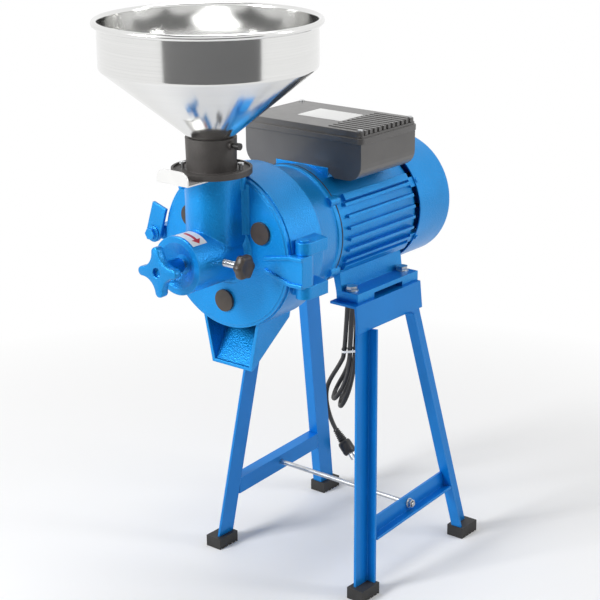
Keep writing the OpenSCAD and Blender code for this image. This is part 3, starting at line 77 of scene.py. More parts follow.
# Camera at the photograph's viewing angle
AZ, EL, ROLL = math.radians(38.384), math.radians(18.284), math.radians(-0.257)
CAMERA_AT = (1.4778, -1.7960 + MID, 1.2203)
back = Vector((math.sin(AZ) * math.cos(EL), -math.cos(AZ) * math.cos(EL), math.sin(EL)))
right = (-back).cross(Vector((0, 0, 1))).normalized()
up = right.cross(-back).normalized()
right, up = (math.cos(ROLL) * right + math.sin(ROLL) * up,
             -math.sin(ROLL) * right + math.cos(ROLL) * up)
cam_data = bpy.data.cameras.new("view")
cam = bpy.data.objects.new("view", cam_data)
bpy.context.scene.collection.objects.link(cam)
cam.matrix_world = Matrix((
    (right.x, up.x, back.x, CAMERA_AT[0]),
    (right.y, up.y, back.y, CAMERA_AT[1]),
    (right.z, up.z, back.z, CAMERA_AT[2]),
    (0, 0, 0, 1)))
cam_data.lens = 95.80
cam_data.sensor_width = 36
cam_data.shift_x = -0.0309
cam_data.shift_y = 0.0033
cam_data.clip_start, cam_data.clip_end = 0.05, 60
bpy.context.scene.camera = cam


def link(obj):
    bpy.context.scene.collection.objects.link(obj)
    return obj


def mesh_object(name, bm, smooth=35):
    """Makes an object of the mesh being built, smooth but for edges sharper than the angle."""
    bmesh.ops.recalc_face_normals(bm, faces=bm.faces)
    mesh = bpy.data.meshes.new(name)
    bm.to_mesh(mesh)
    bm.free()
    for p in mesh.polygons:
        p.use_smooth = True
    mesh.set_sharp_from_angle(angle=math.radians(smooth))
    return link(bpy.data.objects.new(name, mesh))


def put(obj, body, mat, slot, *replaced):
    """Gives a piece its look, its body and the CAD nodes that it stands for; slot is not used."""
    obj.data.materials.append(mat)
    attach(obj, body)
    if replaced:
        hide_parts(*replaced)
    return obj


def join_rings(bm, a, b):
    """Joins two rings of the same count with quads."""
    for i in range(len(a)):
        j = (i + 1) % len(a)
        bm.faces.new((a[i], a[j], b[j], b[i]))


def lathe(bm, outline, turn, segments=96, close=False):
    """Revolves an outline of (radius, height) round +Z, moved by the matrix turn."""
    rings = []
    for r, z in outline:
        if r < 1e-6:
            rings.append([bm.verts.new(turn @ Vector((0, 0, z)))])
        else:
            rings.append([bm.verts.new(turn @ Vector((r * math.cos(a), r * math.sin(a), z)))
                          for a in (2 * math.pi * i / segments for i in range(segments))])
    pairs = list(zip(rings, rings[1:])) + ([(rings[-1], rings[0])] if close else [])
    for a, b in pairs:
        for i in range(segments):
            j = (i + 1) % segments
            if len(a) == 1 and len(b) == 1:
                continue
            if len(a) == 1:
                bm.faces.new((a[0], b[i], b[j]))
            elif len(b) == 1:
                bm.faces.new((a[i], b[0], a[j]))
            else:
                bm.faces.new((a[i], b[i], b[j], a[j]))


def along(axis, at):
    """Turns +Z onto an axis and moves to a point."""
    q = Vector((0, 0, 1)).rotation_difference(Vector(axis).normalized())
    return Matrix.Translation(Vector(at)) @ q.to_matrix().to_4x4()


# Cord: one line from the gland, through the hank, to the plug. The points repeat part.scad's route.
TURN = math.radians(38.4)
ACROSS = Vector((math.cos(TURN), math.sin(TURN), 0))
INWARD = Vector((-math.sin(TURN), math.cos(TURN), 0))
CORD_R, FOLD_R, STRAND_GAP, STRAND_HALF, LOOP_REACH = 4.0, 24.5, 9.4, 4.4, 36.0
LEAD = [(-80, 196, 690), (-80, 208, 690), (-80, 222, 689), (-81, 236, 684), (-83, 250, 675),
        (-85, 263, 662), (-88, 275, 646), (-91, 285, 627), (-94, 293, 605), (-97, 299, 580),
        (-99, 303, 553), (-100, 306, 523), (-100, 308, 493), (-99, 309, 463), (-98, 310, 433),
        (-97, 310, 403), (-97, 309.5, 379), (-97, 309.5, 373), (-97, 309.5, 367)]
TAIL = [(-124, 298, 259), (-125, 298, 253), (-126, 298, 247), (-131.5, 298, 236), (-140, 298, 222),
        (-149, 298, 208), (-157, 298, 194), (-162.5, 298, 179), (-164, 298, 163), (-162, 298, 147),
        (-157.5, 298, 132), (-150.5, 298, 117), (-142, 298, 104)]
HANK_TOP, HANK_TIE = Vector((-110, 303, 345)), Vector((-115, 303, 261))
LOOP_LOW = [Vector((-124.5, 303, 177.5)), Vector((-136.5, 303, 188))]
LOOP_SLOPE = [Vector((-0.48, 0, -0.87)), Vector((-0.58, 0, -0.81))]
PLUG_END = Vector((-99, 298, 57))


def ease(s):
    """A smooth start and stop between 0 and 1."""
    return (1 - math.cos(math.pi * s)) / 2


def level(v):
    """The direction v without its share across the hank."""
    return (v - v.dot(INWARD) * INWARD).normalized()


def upper(s, c, k):
    """A strand above the tie: s from top to tie, c its place across, k its side of the fold."""
    return (HANK_TOP + s * (HANK_TIE - HANK_TOP) + STRAND_GAP * c * ACROSS
            + k * (FOLD_R + (STRAND_HALF - FOLD_R) * ease(s)) * INWARD)


def lower(s, c, k, i):
    """A strand below the tie: s from tie to the low fold i."""
    a = HANK_TIE + STRAND_GAP * c * ACROSS
    e = LOOP_LOW[i]
    b = e - LOOP_REACH * level(LOOP_SLOPE[i])
    return ((1 - s) ** 2 * a + 2 * s * (1 - s) * b + s * s * e
            + k * (STRAND_HALF + (FOLD_R - STRAND_HALF) * ease(s)) * INWARD)


def low_fold(i):
    return [LOOP_LOW[i] - FOLD_R * math.cos(a) * INWARD + FOLD_R * math.sin(a) * level(LOOP_SLOPE[i])
            for a in (math.radians(36 * n) for n in range(6))]


def top_fold(c):
    return [HANK_TOP + STRAND_GAP * (c + (math.cos(a) - 1) / 2) * ACROSS + FOLD_R * math.cos(a) * INWARD
            + Vector((0, 0, FOLD_R * math.sin(a))) for a in (math.radians(36 * n) for n in range(6))]


def lead_in(s):
    a, b = Vector(LEAD[-1]), upper(1, 1, -1)
    return a + ease(s) * Vector((b.x - a.x, b.y - a.y, 0)) + s * Vector((0, 0, b.z - a.z))


def lead_out(s):
    return HANK_TOP + s * (HANK_TIE - HANK_TOP) - STRAND_GAP * ACROSS - FOLD_R * (1 - ease(s)) * INWARD


DOWN, UP = (0.2, 0.4, 0.6, 0.8), (0.8, 0.6, 0.4, 0.2)
route = [Vector(p) for p in LEAD]
route += [lead_in(1 / 3), lead_in(2 / 3), upper(1, 1, -1)]
route += [lower(s, 1, -1, 0) for s in DOWN] + low_fold(0) + [lower(s, 1, 1, 0) for s in UP]
route += [upper(1, 1, 1)] + [upper(s, 1, 1) for s in UP] + top_fold(1)
route += [upper(s, 0, -1) for s in DOWN] + [upper(1, 0, -1)]
route += [lower(s, 0, -1, 1) for s in DOWN] + low_fold(1) + [lower(s, 0, 1, 1) for s in UP]
route += [upper(1, 0, 1)] + [upper(s, 0, 1) for s in UP] + top_fold(0)
route += [lead_out(s) for s in DOWN] + [Vector(p) for p in TAIL]
route = [p * MM + Vector((0, MID, 0)) for p in route]

curve = bpy.data.curves.new("mains_cord", "CURVE")
curve.dimensions = "3D"
spline = curve.splines.new("BEZIER")
spline.bezier_points.add(len(route) - 1)
for point, p in zip(spline.bezier_points, route):
    point.co = p
    point.handle_left_type = point.handle_right_type = "AUTO"
spline.resolution_u = 6
curve.bevel_depth = CORD_R * MM
curve.bevel_resolution = 5
curve.use_fill_caps = True
cord = link(bpy.data.objects.new("mains_cord", curve))


# Materials: every one is procedural, with its colour, roughness and relief from nodes
def material(name, base, rough, metallic=0.0, vary=0.08, patch=14.0, relief=(), edge=None, coat=0.0,
             rough_vary=0.05, rough_scale=60.0, specular=0.5, edge_lightening=0.0, stretch=None):
    """A procedural surface. Its colour varies by vary in patches, its roughness by rough_vary.

    relief lists (kind, scale, strength, depth) of its bumps; edge is the radius that rounds its edges in
    the shading, and edge_lightening how much lighter the colour is along those edges; stretch scales the patterns
    along each axis.
    """
    m = bpy.data.materials.new(name)
    m.use_nodes = True
    m.diffuse_color = (*base, 1)
    tree = m.node_tree
    out = tree.nodes["Principled BSDF"]
    n, l = tree.nodes, tree.links

    def new(kind, **values):
        node = n.new(kind)
        for k, v in values.items():
            setattr(node, k, v)
        return node

    place = new("ShaderNodeTexCoord").outputs["Object"]
    if stretch:
        mapping = new("ShaderNodeMapping")
        mapping.inputs["Scale"].default_value = stretch
        l.new(place, mapping.inputs["Vector"])
        place = mapping.outputs["Vector"]

    def cloud(scale, detail=3.0):
        node = new("ShaderNodeTexNoise")
        node.inputs["Scale"].default_value = scale
        node.inputs["Detail"].default_value = detail
        node.inputs["Roughness"].default_value = 0.55
        l.new(place, node.inputs["Vector"])
        return node.outputs["Fac"]

    # colour
    ramp = new("ShaderNodeValToRGB")
    ramp.color_ramp.elements[0].position = 0.3
    ramp.color_ramp.elements[1].position = 0.7
    ramp.color_ramp.elements[0].color = (*[c * (1 - vary) for c in base], 1)
    ramp.color_ramp.elements[1].color = (*[min(1, c * (1 + vary)) for c in base], 1)
    l.new(cloud(patch, 4.0), ramp.inputs["Fac"])
    colour = ramp.outputs["Color"]
    rounded = None
    if edge:
        bevel = new("ShaderNodeBevel", samples=4)
        bevel.inputs["Radius"].default_value = edge
        rounded = bevel.outputs["Normal"]
        if edge_lightening:      # where the rounded normal leaves the face's own, the colour is mixed lighter along the edges
            geometry = new("ShaderNodeNewGeometry")
            dot = new("ShaderNodeVectorMath", operation="DOT_PRODUCT")
            l.new(rounded, dot.inputs[0])
            l.new(geometry.outputs["Normal"], dot.inputs[1])
            span = new("ShaderNodeMapRange")
            span.inputs["From Min"].default_value = 0.97
            span.inputs["From Max"].default_value = 0.80
            span.inputs["To Min"].default_value = 0.0
            span.inputs["To Max"].default_value = edge_lightening
            l.new(dot.outputs["Value"], span.inputs["Value"])
            mix = new("ShaderNodeMix", data_type="RGBA")
            l.new(span.outputs["Result"], mix.inputs["Factor"])
            l.new(colour, mix.inputs[6])      # inputs 6 and 7 and output 2 are the node's colours
            mix.inputs[7].default_value = (*[min(1, c * 1.5 + 0.06) for c in base], 1)
            colour = mix.outputs[2]
    l.new(colour, out.inputs["Base Color"])
    # roughness
    span = new("ShaderNodeMapRange")
    span.inputs["To Min"].default_value = max(0.0, rough - rough_vary)
    span.inputs["To Max"].default_value = min(1.0, rough + rough_vary)
    l.new(cloud(rough_scale), span.inputs["Value"])
    l.new(span.outputs["Result"], out.inputs["Roughness"])
    # relief
    normal = rounded
    for kind, scale, strength, depth in relief:
        if kind == "cells":
            texture = new("ShaderNodeTexVoronoi", feature="SMOOTH_F1")
            texture.inputs["Scale"].default_value = scale
            l.new(place, texture.inputs["Vector"])
            height = texture.outputs["Distance"]
        elif kind == "lines":
            texture = new("ShaderNodeTexWave", wave_type="BANDS", bands_direction="Z")
            texture.inputs["Scale"].default_value = scale
            texture.inputs["Distortion"].default_value = 0.0
            l.new(place, texture.inputs["Vector"])
            height = texture.outputs["Fac"]
        else:
            height = cloud(scale, 2.0)
        bump = new("ShaderNodeBump")
        bump.inputs["Strength"].default_value = strength
        bump.inputs["Distance"].default_value = depth
        l.new(height, bump.inputs["Height"])
        if normal is not None:
            l.new(normal, bump.inputs["Normal"])
        normal = bump.outputs["Normal"]
    if normal is not None:
        l.new(normal, out.inputs["Normal"])
    out.inputs["Metallic"].default_value = metallic
    out.inputs["Coat Weight"].default_value = coat
    out.inputs["Coat Roughness"].default_value = 0.12
    out.inputs["Specular IOR Level"].default_value = specular
    return m


BLUE = (0.004, 0.270, 0.700)
STAND_BLUE = (0.002, 0.215, 0.640)
MATS = {
    "cast_paint": material("cast_paint", BLUE, 0.33, metallic=0.50, vary=0.12, patch=9,
                           relief=[("cells", 520, 0.5, 0.0010), ("cloud", 900, 0.2, 0.0006)],
                           edge=0.0026, edge_lightening=0.5, coat=0.12, specular=0.32),
    "stand_paint": material("stand_paint", STAND_BLUE, 0.36, metallic=0.35, vary=0.06, patch=7,
                            relief=[("cloud", 260, 0.10, 0.0006)], edge=0.0012, edge_lightening=0.5, coat=0.10, specular=0.30),
    "motor_paint": material("motor_paint", BLUE, 0.33, metallic=0.50, vary=0.08, patch=12,
                            relief=[("cells", 520, 0.45, 0.0010)], edge=0.0018, edge_lightening=0.5, coat=0.12, specular=0.32),
    "mirror": material("mirror", (0.78, 0.78, 0.77), 0.13, metallic=1.0, vary=0.03, patch=3, rough_vary=0.04,
                       rough_scale=4, stretch=(1.5, 1.5, 260), relief=[("cloud", 3, 0.06, 0.0003)]),
    "zinc": material("zinc", (0.56, 0.57, 0.58), 0.30, metallic=1.0, vary=0.12, patch=60,
                     relief=[("cloud", 700, 0.12, 0.0004)], edge=0.0006),
    "chrome": material("chrome", (0.72, 0.72, 0.72), 0.14, metallic=1.0, vary=0.05, patch=80,
                       relief=[("cloud", 500, 0.05, 0.0003)], edge=0.0005),
    "steel": material("steel", (0.42, 0.43, 0.44), 0.34, metallic=1.0, vary=0.12, patch=40,
                      relief=[("cloud", 600, 0.12, 0.0004)], edge=0.0006),
    "dark_iron": material("dark_iron", (0.062, 0.057, 0.054), 0.52, metallic=0.25, vary=0.22, patch=30,
                          relief=[("cells", 500, 0.25, 0.0008), ("cloud", 1200, 0.2, 0.0005)], edge=0.0010, edge_lightening=0.3),
    "box_plastic": material("box_plastic", (0.100, 0.096, 0.093), 0.36, vary=0.10, patch=18, coat=0.25,
                            relief=[("cloud", 1500, 0.10, 0.0003)], edge=0.0012, edge_lightening=0.25),
    "black_plastic": material("black_plastic", (0.018, 0.017, 0.017), 0.36, vary=0.15, patch=30,
                              relief=[("cloud", 1300, 0.12, 0.0003)], edge=0.0008, edge_lightening=0.2),
    "brown_plastic": material("brown_plastic", (0.050, 0.038, 0.030), 0.42, vary=0.18, patch=60,
                              relief=[("cloud", 900, 0.2, 0.0004)], edge=0.0010, edge_lightening=0.25),
    "white_plastic": material("white_plastic", (0.78, 0.78, 0.76), 0.45, vary=0.04, patch=25,
                              relief=[("cloud", 900, 0.08, 0.0003)], edge=0.0004),
    "bright_sheet": material("bright_sheet", (0.80, 0.80, 0.79), 0.32, metallic=0.7, vary=0.04, patch=20,
                             relief=[("cloud", 400, 0.05, 0.0003)], edge=0.0005),
    "label": material("label", (0.86, 0.86, 0.85), 0.40, vary=0.02, patch=20, relief=[("cloud", 200, 0.04, 0.0004)]),
    "copper": material("copper", (0.48, 0.16, 0.05), 0.32, metallic=0.9, vary=0.12, patch=40,
                       relief=[("lines", 500, 0.5, 0.0006)]),
    "rubber": material("rubber", (0.022, 0.021, 0.020), 0.62, vary=0.25, patch=35,
                       relief=[("cloud", 900, 0.3, 0.0005)], edge=0.0008, edge_lightening=0.2),
    "cord": material("cord", (0.026, 0.025, 0.025), 0.46, vary=0.15, patch=40,
                     relief=[("cloud", 1200, 0.15, 0.0003)]),
    "red_ink": material("red_ink", (0.55, 0.03, 0.03), 0.42, vary=0.06, patch=60,
                        relief=[("cloud", 300, 0.05, 0.0002)]),
}

# The look of each CAD node, also of those that a piece below stands for
LOOKS = {
    "stand_paint": "left_rail right_rail left_front_leg left_rear_leg right_front_leg right_rear_leg"
                   " left_crossbar right_crossbar",
    "motor_paint": "motor_housing front_end_shield rear_end_shield fan_cover motor_bolts",
    "cast_paint": "grinder_housing clamp_bolt clamp_plate front_cover star_handle hinge_pin",
    "zinc": "tie_rod tie_rod_nuts foot_bolts neck_screws lid_screws",
    "steel": "stator_core front_bearing rear_bearing housing_bolts motor_shaft rotor_core disc_carrier"
             " disc_spring thrust_pin",
    "dark_iron": "moving_disc feed_auger fixed_disc hopper_neck",
    "box_plastic": "terminal_box terminal_box_lid",
    "black_plastic": "capacitors cable_gland switch_bezel rocker_switch cooling_fan thumbscrew",
    "white_plastic": "terminal_block cord_tie",
    "bright_sheet": "gate_plate",
    "brown_plastic": "disc_bolts lock_knob",
    "mirror": "hopper",
    "copper": "stator_windings",
    "rubber": "rubber_feet shaft_seal",
    "cord": "cord_lead cord_hank cord_tail plug",
}
for look, names in LOOKS.items():
    for name in names.split():
        slots = nodes[name].data.materials
        if len(slots):
            for i in range(len(slots)):
                slots[i] = MATS[look]
        else:
            slots.append(MATS[look])

put(cord, "frame", MATS["cord"], "cord", "cord_lead", "cord_hank", "cord_tail")

# Relief sleeves: rings with grooves between them, on the gland and on the plug
BORE_R, RIDGE_SLOPE = 0.0041, 0.0003


def ridges(count, pitch, r, r_step, land, depth, groove_end):
    """Outline of rings, each land long and depth above the groove that ends at groove_end."""
    points = []
    for i in range(count):
        z, ring_r = pitch * i, r + r_step * i
        points += [(ring_r, z), (ring_r, z + land),
                   (ring_r - depth, z + land + RIDGE_SLOPE), (ring_r - depth, z + groove_end)]
    return points


GLAND_AT = (-0.080, 0.1955 + MID, 0.690)
SLEEVE_L, SLEEVE_END, SLEEVE_R, SLEEVE_TAPER, SLEEVE_GAPS = 0.030, 0.0335, 0.0078, 0.0030, 11
bm = bmesh.new()
outline = [(BORE_R, 0.0)]
outline += ridges(SLEEVE_GAPS + 1, SLEEVE_L / SLEEVE_GAPS, SLEEVE_R, -SLEEVE_TAPER / SLEEVE_GAPS,
                  land=0.0013, depth=0.0007, groove_end=0.0024)
outline += [(BORE_R, SLEEVE_END)]
lathe(bm, outline, along((0, 1, -0.03), GLAND_AT), 40)
relief = put(mesh_object("gland_sleeve", bm, 40), "frame", MATS["black_plastic"], "black_plastic")

# Plug: ribbed relief, moulded body and two pins
PLUG_RELIEF, PLUG_RINGS, PLUG_GROW, PLUG_NECK_R = 0.0235, 7, 0.0030, 0.0056
PLUG_BODY = [(0.0098, 0.0240), (0.0115, 0.0262), (0.0120, 0.0300), (0.0120, 0.0445),
             (0.0112, 0.0480), (0.0100, 0.0494), (0.0, 0.0496)]
PIN = [(0.0, 0.0490), (0.0024, 0.0490), (0.0024, 0.0600), (0.0016, 0.0615), (0.0, 0.0618)]
PIN_OFF = 0.00475
start = route[-1]
end = PLUG_END * MM + Vector((0, MID, 0))
way = (end - start).normalized()
bm = bmesh.new()
outline = [(BORE_R, -0.002)]
outline += ridges(PLUG_RINGS, PLUG_RELIEF / PLUG_RINGS, PLUG_NECK_R, PLUG_GROW / PLUG_RINGS,
                  land=0.0018, depth=0.0012, groove_end=0.0031)
lathe(bm, outline + PLUG_BODY, along(way, start), 48)
plug = put(mesh_object("moulded_plug", bm, 40), "frame", MATS["black_plastic"], "cord", "plug")
bm = bmesh.new()
for side in (-1, 1):
    lathe(bm, PIN, along(way, start + Vector((0, side * PIN_OFF, 0))), 24)
pins = put(mesh_object("plug_pins", bm, 40), "frame", MATS["chrome"], "zinc")

# Tie round the hank: a flat band with rounded corners, a little higher at one side
TIE_X, TIE_Y, TIE_R, TIE_T = 0.0146, 0.0094, 0.0048, 0.0009
TIE_HALF, TIE_TILT, TIE_INNER = 0.0022, 0.0012, -0.0002
bm = bmesh.new()
corners = ((TIE_X - TIE_R, TIE_Y - TIE_R, 0), (-TIE_X + TIE_R, TIE_Y - TIE_R, 90),
           (-TIE_X + TIE_R, -TIE_Y + TIE_R, 180), (TIE_X - TIE_R, -TIE_Y + TIE_R, 270))
loop = [(cx, cy, math.cos(a), math.sin(a))
        for cx, cy, a0 in corners for a in (math.radians(a0 + 15 * k) for k in range(7))]
centre = HANK_TIE * MM + Vector((0, MID, 0))
band = ((0, -TIE_HALF), (TIE_T, -TIE_HALF * 0.8), (TIE_T, TIE_HALF * 0.8), (0, TIE_HALF),
        (TIE_INNER, TIE_HALF * 0.7), (TIE_INNER, -TIE_HALF * 0.7))
rings = [[bm.verts.new(centre + ACROSS * (cx + (TIE_R + dr) * ca) + INWARD * (cy + (TIE_R + dr) * sa)
                       + Vector((0, 0, dz + TIE_TILT * (cx / TIE_X)))) for cx, cy, ca, sa in loop]
         for dr, dz in band]
for a, b in zip(rings, rings[1:] + rings[:1]):
    join_rings(bm, a, b)
tie = put(mesh_object("tie_band", bm, 40), "frame", MATS["white_plastic"], "white_plastic", "cord_tie")

# Hopper: the same spun sheet with fine facets, so that its mirror finish is smooth
RIM_R, RIM_OUT, RIM_TOP, WALL_H, SHEET = 0.160, 0.0074, 0.3365, 0.0665, 0.0012
ROLL_R, ROLL_STEPS = 0.0045, 14
SPOUT_R, SPOUT_END, CONE_START = 0.0304, 0.130, 0.170
HOPPER_R = RIM_R - RIM_OUT
ROLL_Z = RIM_TOP - ROLL_R
WALL_FOOT = RIM_TOP - WALL_H
outline = [(SPOUT_R - SHEET, SPOUT_END), (SPOUT_R, SPOUT_END), (SPOUT_R, CONE_START - 0.001),
           (SPOUT_R + 0.0012, CONE_START + 0.0012),
           (HOPPER_R - 0.0016, WALL_FOOT - 0.0016), (HOPPER_R - 0.0003, WALL_FOOT + 0.0006),
           (HOPPER_R, WALL_FOOT + 0.003),
           (HOPPER_R, ROLL_Z - 0.002)]
outline += [(RIM_R - ROLL_R + ROLL_R * math.cos(a), ROLL_Z + ROLL_R * math.sin(a))
            for a in (math.radians(-120 + 300 * i / ROLL_STEPS) for i in range(ROLL_STEPS + 1))]
outline += [(HOPPER_R - SHEET, ROLL_Z - 0.001), (HOPPER_R - SHEET, WALL_FOOT + 0.003),
            (HOPPER_R - SHEET - 0.0012, WALL_FOOT - 0.0002),
            (SPOUT_R - SHEET + 0.0012, CONE_START + 0.0022), (SPOUT_R - SHEET, CONE_START)]
bm = bmesh.new()
lathe(bm, outline, Matrix.Translation((0, INLET, SHAFT)), 256, close=True)
put(mesh_object("hopper_spun", bm, 28), "hopper", MATS["mirror"], "mirror_steel", "hopper")

# Lid of the terminal box: a stepped moulding, ribbed at one side, with a comb of notches under the ribs
LID_X, LID_Y, LID_Z = 0.2294, 0.1444, SHAFT + 0.137
LID_R, LID_ROUND, LID_WALL, LID_CEILING = 0.010, 0.0006, 0.0067, 0.0158
STEP_Z, STEP_IN, COMB_Z, COMB_IN, LID_TOP = 0.0090, 0.0025, 0.0130, 0.0026, 0.0188
RIB_COUNT, RIB_HALF, RIB_START, RIB_FOOT, RIB_TOP, RIB_ROUND = 11, 0.0030, 0.044, 0.0132, 0.0199, 0.0004
BOSS_X, BOSS_Y, BOSS_R = 0.1047, 0.0622, 0.0060
LABEL_X0, LABEL_X1, LABEL_Y0, LABEL_Y1, LABEL_R, LABEL_TOP = -0.045, 0.039, -0.024, 0.034, 0.003, 0.0191
lid_low, lid_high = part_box("terminal_box_lid")
LID_MID = (lid_low[1] + lid_high[1]) / 2


def rounded(x0, x1, y0, y1, r, z, steps=6):
    """A level rectangle with rounded corners."""
    points = []
    for cx, cy, a0 in ((x1 - r, y1 - r, 0), (x0 + r, y1 - r, 90), (x0 + r, y0 + r, 180), (x1 - r, y0 + r, 270)):
        for k in range(steps + 1):
            a = math.radians(a0 + 90 * k / steps)
            points.append((cx + r * math.cos(a), cy + r * math.sin(a), z))
    return points


def loft(bm, loops, cap=True):
    """Joins loops of the same count in order, closes the ends if cap, and returns the rows of vertices."""
    rows = [[bm.verts.new(p) for p in loop] for loop in loops]
    for a, b in zip(rows, rows[1:]):
        join_rings(bm, a, b)
    if cap:
        bm.faces.new(list(reversed(rows[0])))
        bm.faces.new(rows[-1])
    return rows


def block(bm, x0, x1, y0, y1, z0, z1, c):
    """A box whose upright edges stay sharp and whose top and bottom edges are cut by c."""
    loft(bm, [[(x0 + inset, y0 + inset, z), (x1 - inset, y0 + inset, z),
               (x1 - inset, y1 - inset, z), (x0 + inset, y1 - inset, z)]
              for inset, z in ((c, z0), (0, z0 + c), (0, z1 - c), (c, z1))])


def lid_loop(inset, z, comb=0.0):
    """The lid's outline at height z, set in all round and by comb more at the ribbed side."""
    return rounded(-LID_X / 2 + inset, LID_X / 2 - inset - comb,
                   LID_MID - LID_Y / 2 + inset, LID_MID + LID_Y / 2 - inset, LID_R - min(inset, 0.008), LID_Z + z)


bm = bmesh.new()
loft(bm, [lid_loop(LID_WALL, LID_CEILING), lid_loop(LID_WALL, 0.0),
          lid_loop(LID_ROUND, 0.0), lid_loop(0.0, LID_ROUND),
          lid_loop(0.0, STEP_Z - LID_ROUND), lid_loop(LID_ROUND, STEP_Z),
          lid_loop(STEP_IN, STEP_Z), lid_loop(STEP_IN, COMB_Z - 0.0002), lid_loop(STEP_IN, COMB_Z, COMB_IN),
          lid_loop(STEP_IN, LID_TOP - LID_ROUND, COMB_IN), lid_loop(STEP_IN + LID_ROUND, LID_TOP, COMB_IN)])
RIB_PITCH = (LID_Y - 2 * LID_R) / RIB_COUNT
for i in range(RIB_COUNT):
    y = LID_MID - LID_Y / 2 + LID_R + (i + 0.5) * RIB_PITCH
    block(bm, RIB_START, LID_X / 2 - COMB_IN, y - RIB_HALF, y + RIB_HALF,
          LID_Z + RIB_FOOT, LID_Z + RIB_TOP, RIB_ROUND)
boss = [(0.0, 0.0), (BOSS_R, 0.0), (BOSS_R, LID_TOP - 0.0004), (BOSS_R - 0.0004, LID_TOP), (0.0, LID_TOP)]
for x in (-1, 1):
    for y in (-1, 1):
        lathe(bm, boss, Matrix.Translation((x * BOSS_X, LID_MID + y * BOSS_Y, LID_Z)), 24)
put(mesh_object("moulded_lid", bm, 30), "frame", MATS["box_plastic"], "box_plastic", "terminal_box_lid")

# Bare label on the lid
bm = bmesh.new()
loft(bm, [rounded(LABEL_X0, LABEL_X1, LID_MID + LABEL_Y0, LID_MID + LABEL_Y1, LABEL_R, LID_Z + z)
          for z in (LID_TOP, LABEL_TOP)])
put(mesh_object("lid_label", bm, 30), "frame", MATS["label"], "white_plastic")

# Star handle: four fat lobes whose hollow flanks run smoothly into the round tips
LOBE_R, WAIST, REACH, STAR_TURN = 0.0070, 0.0195, 0.036, math.radians(5)
STAR_Y, STAR_T, STAR_SIDES = -0.2895 + MID, 0.0130, 96
SOCKET_R, SOCKET_DEPTH = 0.0072, 0.0060
STUB = [(0.0, 0.0), (0.0100, 0.0), (0.0110, 0.0010), (0.0110, 0.0360), (0.0102, 0.0370), (0.0, 0.0370)]
STUB_START = 0.0095
lobe_at, waist_in = REACH - LOBE_R, WAIST - LOBE_R
hollow_at = (lobe_at ** 2 - waist_in ** 2) / (math.sqrt(2) * lobe_at - 2 * waist_in)
hollow_r = hollow_at - WAIST
HALF = math.radians(45)
meet = math.atan2(hollow_at * math.sin(HALF), hollow_at * math.cos(HALF) - lobe_at)


def star_loop(inset, y):
    """The star's outline at y, set in: a tip's arc, then the hollow up to the next tip, four times."""
    points = []
    for q in range(4):
        base = STAR_TURN + q * math.pi / 2
        tip = [(lobe_at + (LOBE_R - inset) * math.cos(a), (LOBE_R - inset) * math.sin(a))
               for a in (-meet + 2 * meet * k / 12 for k in range(13))]
        hollow = [(hollow_at * math.cos(HALF) + (hollow_r + inset) * math.cos(a),
                   hollow_at * math.sin(HALF) + (hollow_r + inset) * math.sin(a))
                  for a in (math.pi + meet + (math.pi / 2 - 2 * meet) * k / 12 for k in range(1, 12))]
        for x, z in tip + hollow:
            points.append((x * math.cos(base) - z * math.sin(base), y,
                           SHAFT + x * math.sin(base) + z * math.cos(base)))
    return points


bm = bmesh.new()
rows = loft(bm, [star_loop(inset, STAR_Y + y) for inset, y in (
    (0.0020, 0.0), (0.0006, 0.0006), (0.0, 0.0020),
    (0.0, STAR_T - 0.0020), (0.0006, STAR_T - 0.0006), (0.0020, STAR_T))], cap=False)
bm.faces.new(rows[-1])
hole = [bm.verts.new((SOCKET_R * math.cos(t), STAR_Y, SHAFT + SOCKET_R * math.sin(t)))
        for t in (2 * math.pi * i / STAR_SIDES for i in range(STAR_SIDES))]
for i in range(STAR_SIDES):      # the hole's vertices are shifted, so that the face round it isn't twisted
    bm.faces.new((rows[0][i], rows[0][(i + 1) % STAR_SIDES],
                  hole[(i - 4) % STAR_SIDES], hole[(i - 5) % STAR_SIDES]))
deep = [bm.verts.new((v.co.x, STAR_Y + SOCKET_DEPTH, v.co.z)) for v in hole]
join_rings(bm, hole, deep)
bm.faces.new(deep)
lathe(bm, STUB, along((0, 1, 0), (0, STAR_Y + STUB_START, SHAFT)), 48)
put(mesh_object("star_cast", bm, 40), "star", MATS["cast_paint"], "blue_paint", "star_handle")

# Ribs along the hinge arm: each starts at the disc, bends at the arm's corner and ends at the hinge
ARM_X = (0.074, 0.1205, 0.1425)
ARM_EDGES = ((0.0030, 0.0120, 0.0120), (-0.0140, -0.0270, -0.0270))
ARM_FRONT, ARM_BACK, ARM_RIB_H, ARM_DRAFT = -0.1490 + MID, -0.1455 + MID, 0.006, 0.0005
bm = bmesh.new()
for heights in ARM_EDGES:
    loft(bm, [[(x, ARM_FRONT, SHAFT + z - ARM_DRAFT), (x, ARM_BACK, SHAFT + z),
               (x, ARM_BACK, SHAFT + z - ARM_RIB_H), (x, ARM_FRONT, SHAFT + z - ARM_RIB_H + ARM_DRAFT)]
              for x, z in zip(ARM_X, heights)])
put(mesh_object("arm_ribs", bm, 30), "cover", MATS["cast_paint"], "blue_paint")

# Sticker on the feed hub: a red arrow that shows which way the handle turns, with no words
HUB_R, STICKER_T, INK_T = 0.0425, 0.0003, 0.0002
STICKER_Y, STICKER_HALF, ARROW_HALF, HEAD_HALF, TIP_HALF = -0.2300, 0.0140, 0.0025, 0.0085, 0.00005
STICKER_A0, STICKER_A1, TIP_A, NECK_A, TAIL_A = 48, 98, 51, 62, 92      # degrees round the hub


def on_hub(r, degrees, y):
    a = math.radians(degrees)
    return (r * math.cos(a), y + MID, SHAFT + r * math.sin(a))


